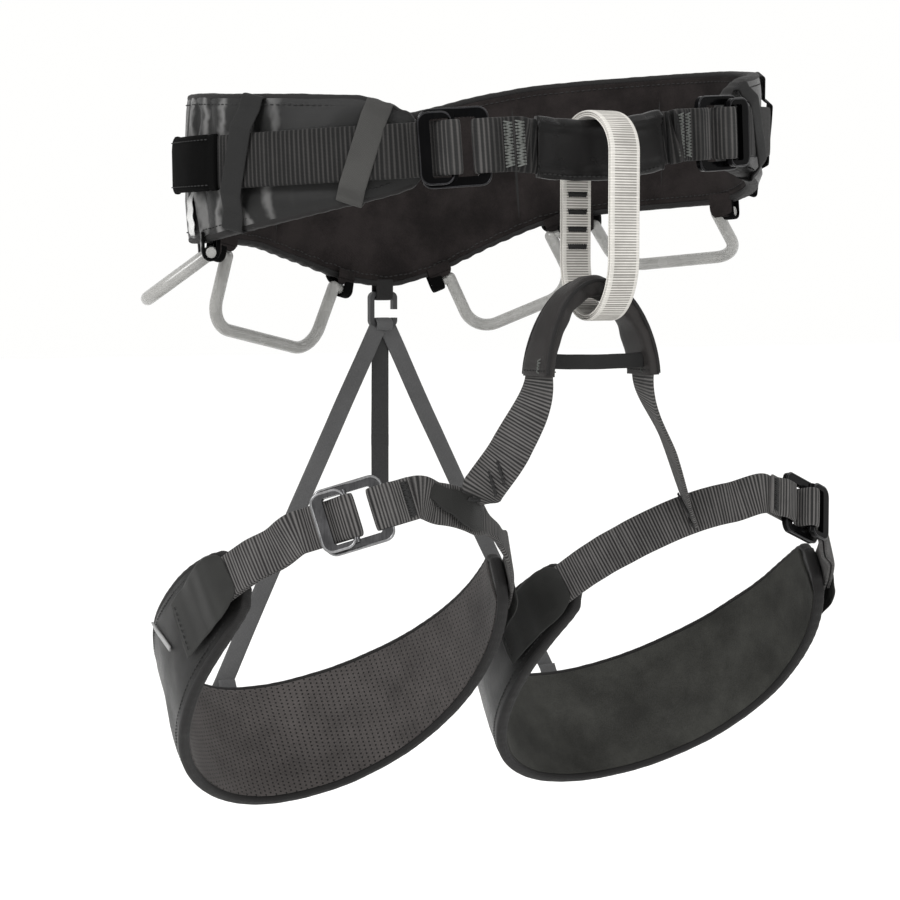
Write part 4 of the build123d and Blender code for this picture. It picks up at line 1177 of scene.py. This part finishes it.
for side, sign in SIDES.items():
    junction = leg(side, LEG_JUNCTION)
    lower = junction.at(WEB_THICKNESS + 0.5, 4.0)
    upper = Vector((ARCH_X + sign * ARCH_HALF, TIE_IN_Y, ARCH_FOOT - GAP))
    middle = (upper + lower) * 0.5 + Vector((sign * -0.5, -4.0, -3.0))
    down = (lower - middle).normalized()
    beyond = lower + down * 9.0 + junction.outward * 0.4
    if side == "right":
        faces = [(-0.6, -0.75, 0.3), (-0.5, -0.8, 0.3), junction.outward, junction.outward]
    else:
        faces = [(0.97, -0.25, 0.15), (0.96, -0.3, 0.17), (0.94, -0.35, 0.2), (0.94, -0.35, 0.25)]
    run = [
        Place(upper + Vector((0, 0, 6)), (0, 0, -1), (sign, -0.1, 0.1)),
        Place(upper, (0, 0, -1), (sign, -0.1, 0.2)),
        Place(middle, lower - upper, faces[0]),
        Place(middle.lerp(lower, 0.7), down, faces[1]),
        Place(lower, down, faces[2]),
        Place(beyond, down, faces[3]),
    ]
    webbing(f"v_leg_{side}_webbing", run, LEG_WEB_WIDTH, "leg_frame", "leg_webbing", "grey_webbing",
            (f"v_leg_{side}",), pitch=LEG_PITCH, depth=0.22, step=0.3, shape=v_leg_shape)
    face = junction.outward if side == "right" else Vector((-0.94, 0.35, -0.2))
    for n, back in enumerate((1.5, -6.0)):
        tack = Place(lower - down * back + face * TACK_LEVEL, down, face)
        bartack(f"v_leg_tack_{side}_{n}", tack, 2.6, 16.5, "leg_frame", "thread_dark", "grey_webbing")
    if side == "right":
        face = Vector(faces[1]).normalized()
        for n, back in enumerate((15.0, 22.0)):
            tack = Place(lower - down * back + face * TACK_LEVEL, down - 0.75 * face.cross(down), face)
            bartack(f"v_leg_seam_{side}_{n}", tack, 1.6, 19.0, "leg_frame", "thread_dark", "grey_webbing")

# ---------------------------------------------------------------- leg pads

PAD_FIRST, PAD_LAST, PAD_STEPS = 62, 298, 300
leg_angles = [PAD_FIRST + (PAD_LAST - PAD_FIRST) * k / PAD_STEPS for k in range(PAD_STEPS + 1)]


def leg_edges(angle):
    """Top and bottom edge of a leg pad, with its ends rounded."""
    half = eased(LEG_PAD, angle, 1, 4.0) / 2
    near_end = max(0.0, 1 - min(angle - PAD_FIRST + 0.5, PAD_LAST + 0.5 - angle) / 5.0)
    half *= sqrt(max(0.0, 1 - 0.75 * near_end**2))
    return half, -half


def leg_wrinkle(side, angle, up, face):
    """Soft waves along the pad, and creases that run with it."""
    seed = SIDES[side] * 3.0
    soft = 0.75 * noise.noise(Vector((angle / 13 + seed, up / 15, face)))
    run = 0.35 * noise.noise(Vector((angle / 30 + seed, up / 4, face * 2)))
    return soft + run


def line_shape(share):
    """The reflective line widens from its lower end."""
    return 0.35 + 1.3 * share * (1.5 - share), 1, 0


def leg_pad(side):
    """The padded part of a leg loop, the lining on its inside, and the sewing and line on it."""
    body, place_at, wrinkle = f"leg_loop_{side}", partial(leg, side), partial(leg_wrinkle, side)
    sections = soft_sections(leg_angles, leg_edges, 0, (-2.7, LEG_THICKNESS / 2, 3.6), wrinkle)
    run = measured([leg(side, angle) for angle in leg_angles])
    nodes = (f"leg_{side}_outer_shell", f"leg_{side}_foam_core")
    pad = sweep(f"leg_pad_{side}", run, sections, body, "leg_shell", "leg_shell", nodes)
    angles = leg_angles[4:-4]
    sections = soft_sections(angles, leg_edges, 1.8, (-3.6, -2.2, 1.0), wrinkle)
    run = measured([leg(side, angle) for angle in angles])
    inside = "mesh" if side == "right" else "mesh_plain"
    sweep(f"leg_lining_{side}", run, sections, body, inside, "leg_mesh", (f"leg_{side}_lining",))
    bound_edge(f"leg_binding_{side}", leg_angles[::4], leg_edges, 0.9, place_at, -0.1, 5.6, body, "leg_shell")
    for which, edge in enumerate(("top", "bottom")):
        row = edge_row(leg_angles[8:-8:6], leg_edges, which, 4.4, place_at, LEG_THICKNESS / 2 - 0.35)
        stitches(f"leg_stitches_{side}_{edge}", row, body, "thread_dark", "leg_shell")
    above = LEG_THICKNESS / 2 + 0.9
    marks = [leg(side, at).moved(above, 4.0 + (at - 98) * 3.0) for at in (105.5, 103, 100, 97)]
    line = [Place(mark.centre, marks[-1].centre - marks[0].centre, mark.outward) for mark in marks]
    tape(f"leg_line_{side}", line, 2.6, 1.1, body, "silver", "leg_shell", (), 1.0, line_shape, 0.3)


# ---------------------------------------------------------------- leg webbing

FOLD_FROM_END = 62.0
RISER_ANGLE = 176.0
RISER_UP = between(LEG_PAD, RISER_ANGLE, 1) / 2  # the pad's top edge
LEG_STRAP = [(76, ON_PAD), (68, ON_PAD), (62, ON_PAD), (55, ON_PAD), (48, 2.2)]
LEG_TAIL = [(48, 2.2 + PLY), (55, ON_PAD + PLY), (62, ON_PAD + PLY), (67, ON_PAD + PLY)]
LEG_INNER = [(-8, 0), (-20, 0), (-32, 0.4), (-42, 2.4), (-50, 4.6)]
LEG_INNER += [(-56, ON_PAD), (-63, ON_PAD), (-72, ON_PAD)]
LEG_FOLD = [(5, 3.2, 8.0), (-3, 3.5, 5.0), (-10, 4.0, 1.2), (-18, 4.3, -1.4), (-27, 3.2, -1.6)]
# Covers: width, seed, angle and reach of the end's stitches, and (angle, level above the webbing on the pad)
LEG_COVERS = {
    "outer": (31.0, 11.0, 86.2, 12.6,
              [(61.5, PLY + 1.3), (65, PLY + 1.6), (70, PLY + 1.0), (76, 1.2), (82, 0.6), (88, 0.4)]),
    "inner": (28.0, 21.0, -88.2, 11.2,
              [(-62, 1.2), (-66, 1.6), (-71, 1.3), (-77, 0.9), (-84, 0.5), (-90, 0.4)]),
}


def leg_places(side, pairs):
    """Places round a leg loop at (angle, out) pairs."""
    return [leg(side, angle).moved(out) for angle, out in pairs]


def gathered(length, share):
    """Past the junction the right strap is folded on itself to about half its width."""
    fold = exp(-((((share - 1) * length + FOLD_FROM_END) / 15.0) ** 4))
    return 1 - 0.52 * fold, 1 + 0.75 * fold, 1 - 0.85 * fold


def fold_shape(share):
    """The fold over the right strap starts as a point and ends narrower."""
    return (0.06 + 0.94 * share**0.8) * (1 - 0.4 * max(0, share * 5 - 4)), 1, 0.3 * sin(4 * share)


def cover_shape(share):
    """A cover's free end is round, and it thins toward its sewn end."""
    free = sqrt(max(0.0, 1 - (1 - min(1.0, share / 0.3)) ** 2))
    return 0.4 + 0.6 * free, 0.75 + 0.25 * free - 0.4 * share, 0.5 * sin(6 * share)


for side, sign in SIDES.items():
    leg_pad(side)
    body = f"leg_loop_{side}"
    buckle = leg_buckle[side]
    strap = flipped(leg_places(side, LEG_STRAP)) + buckle.path(THREADED, THREADED_RADII)
    strap += leg_places(side, LEG_TAIL)
    nodes = tuple(f"leg_{side}_{part}" for part in ("strap_outer", "strap_threading", "strap_tail"))
    webbing(f"leg_webbing_outer_{side}", strap, LEG_WEB_WIDTH, body, "leg_webbing", "grey_webbing", nodes,
            pitch=LEG_PITCH)

    inner = buckle.path(SEWN, SEWN_RADII) + flipped(leg_places(side, LEG_INNER))
    shape = partial(gathered, resample(inner, 2.0)[-1][1]) if side == "right" else None
    nodes = (f"leg_{side}_buckle_loop", f"leg_{side}_strap_inner")
    webbing(f"leg_webbing_inner_{side}", inner, LEG_WEB_WIDTH, body, "leg_webbing", "grey_webbing", nodes,
            pitch=LEG_PITCH, shape=shape)
    if side == "right":
        fold = [leg(side, angle).moved(out, up) for angle, out, up in LEG_FOLD]
        tape("leg_fold_right", fold, 20.0, 1.0, body, "leg_cover", "grey_webbing", (), 0.8, fold_shape, 0.4,
             3.0)
    tack = buckle.place(-24.6, TAIL_LEVEL + 1.25)
    bartack(f"leg_tack_{side}", tack, 3.6, 16.5, body, "thread_dark", "grey_webbing")

    for label, (width, seed, _, _, rows) in LEG_COVERS.items():
        cover = leg_places(side, [(at, ON_PAD + level) for at, level in rows])
        tape(f"leg_cover_{label}_{side}", cover, width, 1.3, body, "leg_cover", "black_fabric", (), 0.7,
             cover_shape, 0.9, seed + sign)
    for label, (_, _, angle, reach, _) in LEG_COVERS.items():
        row = leg(side, angle).upward([(ON_PAD + 1.0, up) for up in (-reach, 0, reach)])
        stitches(f"leg_cover_stitches_{label}_{side}", row, body, "thread_dark", "black_fabric")

    anchor = leg(side, RISER_ANGLE).moved(0, RISER_UP)
    run = anchor.upward(((3.6, -11), (4.2, -4), (3.4, 4.0), (3.0, 8.0)))
    nodes = (f"riser_anchor_{side}",)
    tape(f"riser_anchor_{side}_tape", run, 10.0, 1.4, body, "riser", "riser_elastic", nodes, 0.8, None, 0.15,
         sign)
    tack = Place(anchor.at(5.15, -2), anchor.along, anchor.outward)
    bartack(f"riser_tack_{side}", tack, 8.5, 5.0, body, "thread_dark", "riser_elastic")

# ---------------------------------------------------------------- rear risers and their hook

HOOK_Y, HOOK_TOP, HOOK_BOTTOM = 104.3, -73.8, -90.0
RISER_START = HOOK_BOTTOM - 1.6
UPWARD, DOWNWARD, REARWARD = Vector((0, 0, 1)), Vector((0, 0, -1)), Vector((0, 1, 0))


def under_bar(centre, out, down, radius):
    """Places half way round a bar, from its out side down and up again."""
    places = []
    for turn in range(0, 181, 20):
        c, s = cosine_sine(turn)
        spoke = out * c + down * s
        places.append(Place(centre + spoke * radius, down * c - out * s, spoke))
    return places


def riser_tail_shape(share):
    """The tail is doubled in two places."""
    return 1, 1.5 if 0.60 < share < 0.66 or share > 0.95 else 1, 0


TAB_RADIUS, WRAP_RADIUS, TAB_RISE = 2.75, 2.9, UPWARD * 8.0
bar = Vector((0, HOOK_Y, HOOK_TOP))
run = [Place(bar - REARWARD * TAB_RADIUS + TAB_RISE, DOWNWARD, -REARWARD)]
run += under_bar(bar, -REARWARD, DOWNWARD, TAB_RADIUS)
run += [Place(bar + REARWARD * TAB_RADIUS + TAB_RISE, UPWARD, REARWARD)]
tape("hook_tab", run, 10.0, 1.3, "waist_belt", "binding", "riser_elastic", ("riser_belt_tab",), 0.5)

for side, sign in SIDES.items():
    start = Vector((sign * 3.5, HOOK_Y + sign * 0.85, RISER_START))
    anchor = leg(side, RISER_ANGLE)
    foot = anchor.at(4.4, RISER_UP + 9.3)
    foot += (foot - start).normalized() * 7.0
    bow = Vector((0, 2.4, -1.0))
    run = []
    for t in (0, 0.25, 0.5, 0.75, 1):
        centre = start + (foot - start) * t + bow * (4 * t * (1 - t))
        run.append(Place(centre, foot - start, REARWARD.lerp(anchor.outward, t)))
    nodes = (f"riser_{side}",)
    riser = tape(f"riser_{side}_tape", run, 10.0, 1.4, None, "riser", "riser_elastic", nodes, 1.4, None, 0.15,
                 30 + sign)
    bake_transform(riser)

wrap = []
for turn in range(0, 360, 20):
    c, s = cosine_sine(turn)
    wrap.append(Place((0, HOOK_Y - WRAP_RADIUS * c, HOOK_BOTTOM - WRAP_RADIUS * s), (0, s, -c), (0, -c, -s)))
tube("hook_wrap", wrap, 4.9, 1.5, 0.6, "waist_belt", "riser", "riser_elastic")

tail = []
for drop in (0, 16, 34, 52, 70, 86, 98):
    centre = (0.4 * sin(drop / 30), HOOK_Y + 2.6 + 1.2 * sin(drop / 34), RISER_START - drop)
    tail.append(Place(centre, DOWNWARD, (0.15 * sin(drop / 40), 1, 0)))
tape("riser_tail_tape", tail, 10.0, 1.4, "waist_belt", "riser_dark", "riser_elastic", ("riser_tail",), 1.0,
     riser_tail_shape, 0.2, 40)

# ---------------------------------------------------------------- gear loop tabs

GEAR_TAB_RADIUS, TAB_ENDS = 3.5, [(3.9, -9.5), (3.6, -4.0)]
GEAR_SPANS = {
    "front": {"right": (89.0, 123.0), "left": (86.0, 135.0)},
    "rear": {"right": (128.0, 168.5), "left": (139.5, 169.5)},
}


def pocket_shape(share):
    """A pocket's lower corners are round."""
    return 0.62 + 0.38 * sqrt(max(0.0, 1 - max(0.0, (share - 0.55) / 0.45) ** 2)), 1, 0


def gear_tab(label, side, n, centre, inward, outward, down):
    """The pocket over one end of a gear loop, and the tab that holds the loop in it."""
    hang = 2.4 if label == "front" else -2.4
    for way, face, fabric in (("out", 1, "shell"), ("in", -1, "lining")):
        middle = centre + inward * 3.4 + outward * (4.6 * face)
        flap = []
        for drop, tuck in ((-10.0, 0.3), (-5.0, 0), (hang - 3.4, 0.2), (hang, 1.6)):
            flap.append(Place(middle + down * drop - outward * (face * tuck), down, outward * face))
        tape(f"gear_pocket_{label}_{side}_{n}_{way}", flap, 13.0, 1.0, "waist_belt", fabric, "black_fabric",
             (), 0.7, pocket_shape, 0.4, n + face)
    run = [Place(centre + outward * out + down * drop, down, outward) for out, drop in TAB_ENDS]
    run += under_bar(centre, outward, down, GEAR_TAB_RADIUS)
    run += [Place(centre - outward * out + down * drop, -down, -outward) for out, drop in TAB_ENDS[::-1]]
    nodes = ("gear_loop_tabs",) if (label, side, n) == ("front", "right", 0) else ()
    tape(f"gear_tab_{label}_{side}_{n}", run, 7.0, 1.5, "waist_belt", "black", "black_fabric", nodes, 0.7,
         None, 0.2, n)


for side, sign in SIDES.items():
    for label, spans in GEAR_SPANS.items():
        ends = [waist(sign * angle).at(4.3, between(BELT_EDGES, angle, 2) - 5.9) for angle in spans[side]]
        chord = (ends[1] - ends[0]).normalized()
        outward = waist(sign * sum(spans[side]) / 2).outward
        down = chord.cross(outward)
        down = down if down.z < 0 else -down
        for n, centre in enumerate(ends):
            gear_tab(label, side, n, centre, chord * (1 - 2 * n), outward, down)

# ---------------------------------------------------------------- painted highlights along the buckles' edges


def edge_highlight_bead(name, buckle, level, ends, half, radius, body, material, slot):
    """A fine rounded bead all round a buckle plate, in a paler metal that paints the highlight along its
    edge.
    """
    corner = 5.0
    bend, sunk = corner - radius * 0.6, level - radius * 0.6
    up = buckle.n.cross(buckle.u)
    places = []
    low, high = ends
    for end, edge, first in ((high, half, 0), (low, half, 90), (low, -half, 180), (high, -half, 270)):
        u, v = end - copysign(corner, end - sum(ends) / 2), edge - copysign(corner, edge)
        for turn in range(first, first + 91, 15):
            c, s = cosine_sine(turn)
            centre = buckle.origin + buckle.u * (u + bend * c) + up * (v + bend * s) + buckle.n * sunk
            places.append(Place(centre, up * c - buckle.u * s, buckle.n))
    tube(name, places, radius, radius * 2, 0.9, body, material, slot, (), (10, 1, 1))


SLIDER_FACE = 2 * PLATE + 2 * GAP + WEB_THICKNESS
for side in SIDES:
    for kind, buckle, width, frame_body, slot in (
        ("waist", waist_buckle[side], WAIST_WEB_WIDTH, "waist_belt", "black_metal"),
        ("leg", leg_buckle[side], LEG_WEB_WIDTH, f"leg_loop_{side}", "leg_buckle_metal"),
    ):
        half = width / 2 + 5.5
        # The beads' paler metal paints highlights along the plates' edges.
        finish, radius = ("leg_edge", 0.7) if (kind, side) == ("leg", "right") else ("black_edge", 0.5)
        for plate, level, ends, narrower, body in (
            ("frame", PLATE, (-14.5, 18.0), 0, frame_body),
            ("slider", SLIDER_FACE, (3.5, 19.5), 1.5, f"{kind}_slider_{side}"),
        ):
            name = f"{kind}_{plate}_edge_{side}"
            edge_highlight_bead(name, buckle, level, ends, half - narrower, radius, body, finish, slot)

# ---------------------------------------------------------------- CAD pieces kept

finishes = {"riser_hook": "hook"}
for side in SIDES:
    for part in ("frame", "slider"):
        finishes[f"waist_{side}_buckle_{part}"] = "black_metal"
        finishes[f"leg_{side}_buckle_{part}"] = "leg_metal" if side == "right" else "dark_metal"
    for label in ("front", "rear"):
        finishes[f"gear_loop_{label}_{side}"] = "gear"
for node, finish in finishes.items():
    for slot in NODES[node].material_slots:
        slot.material = M[finish]
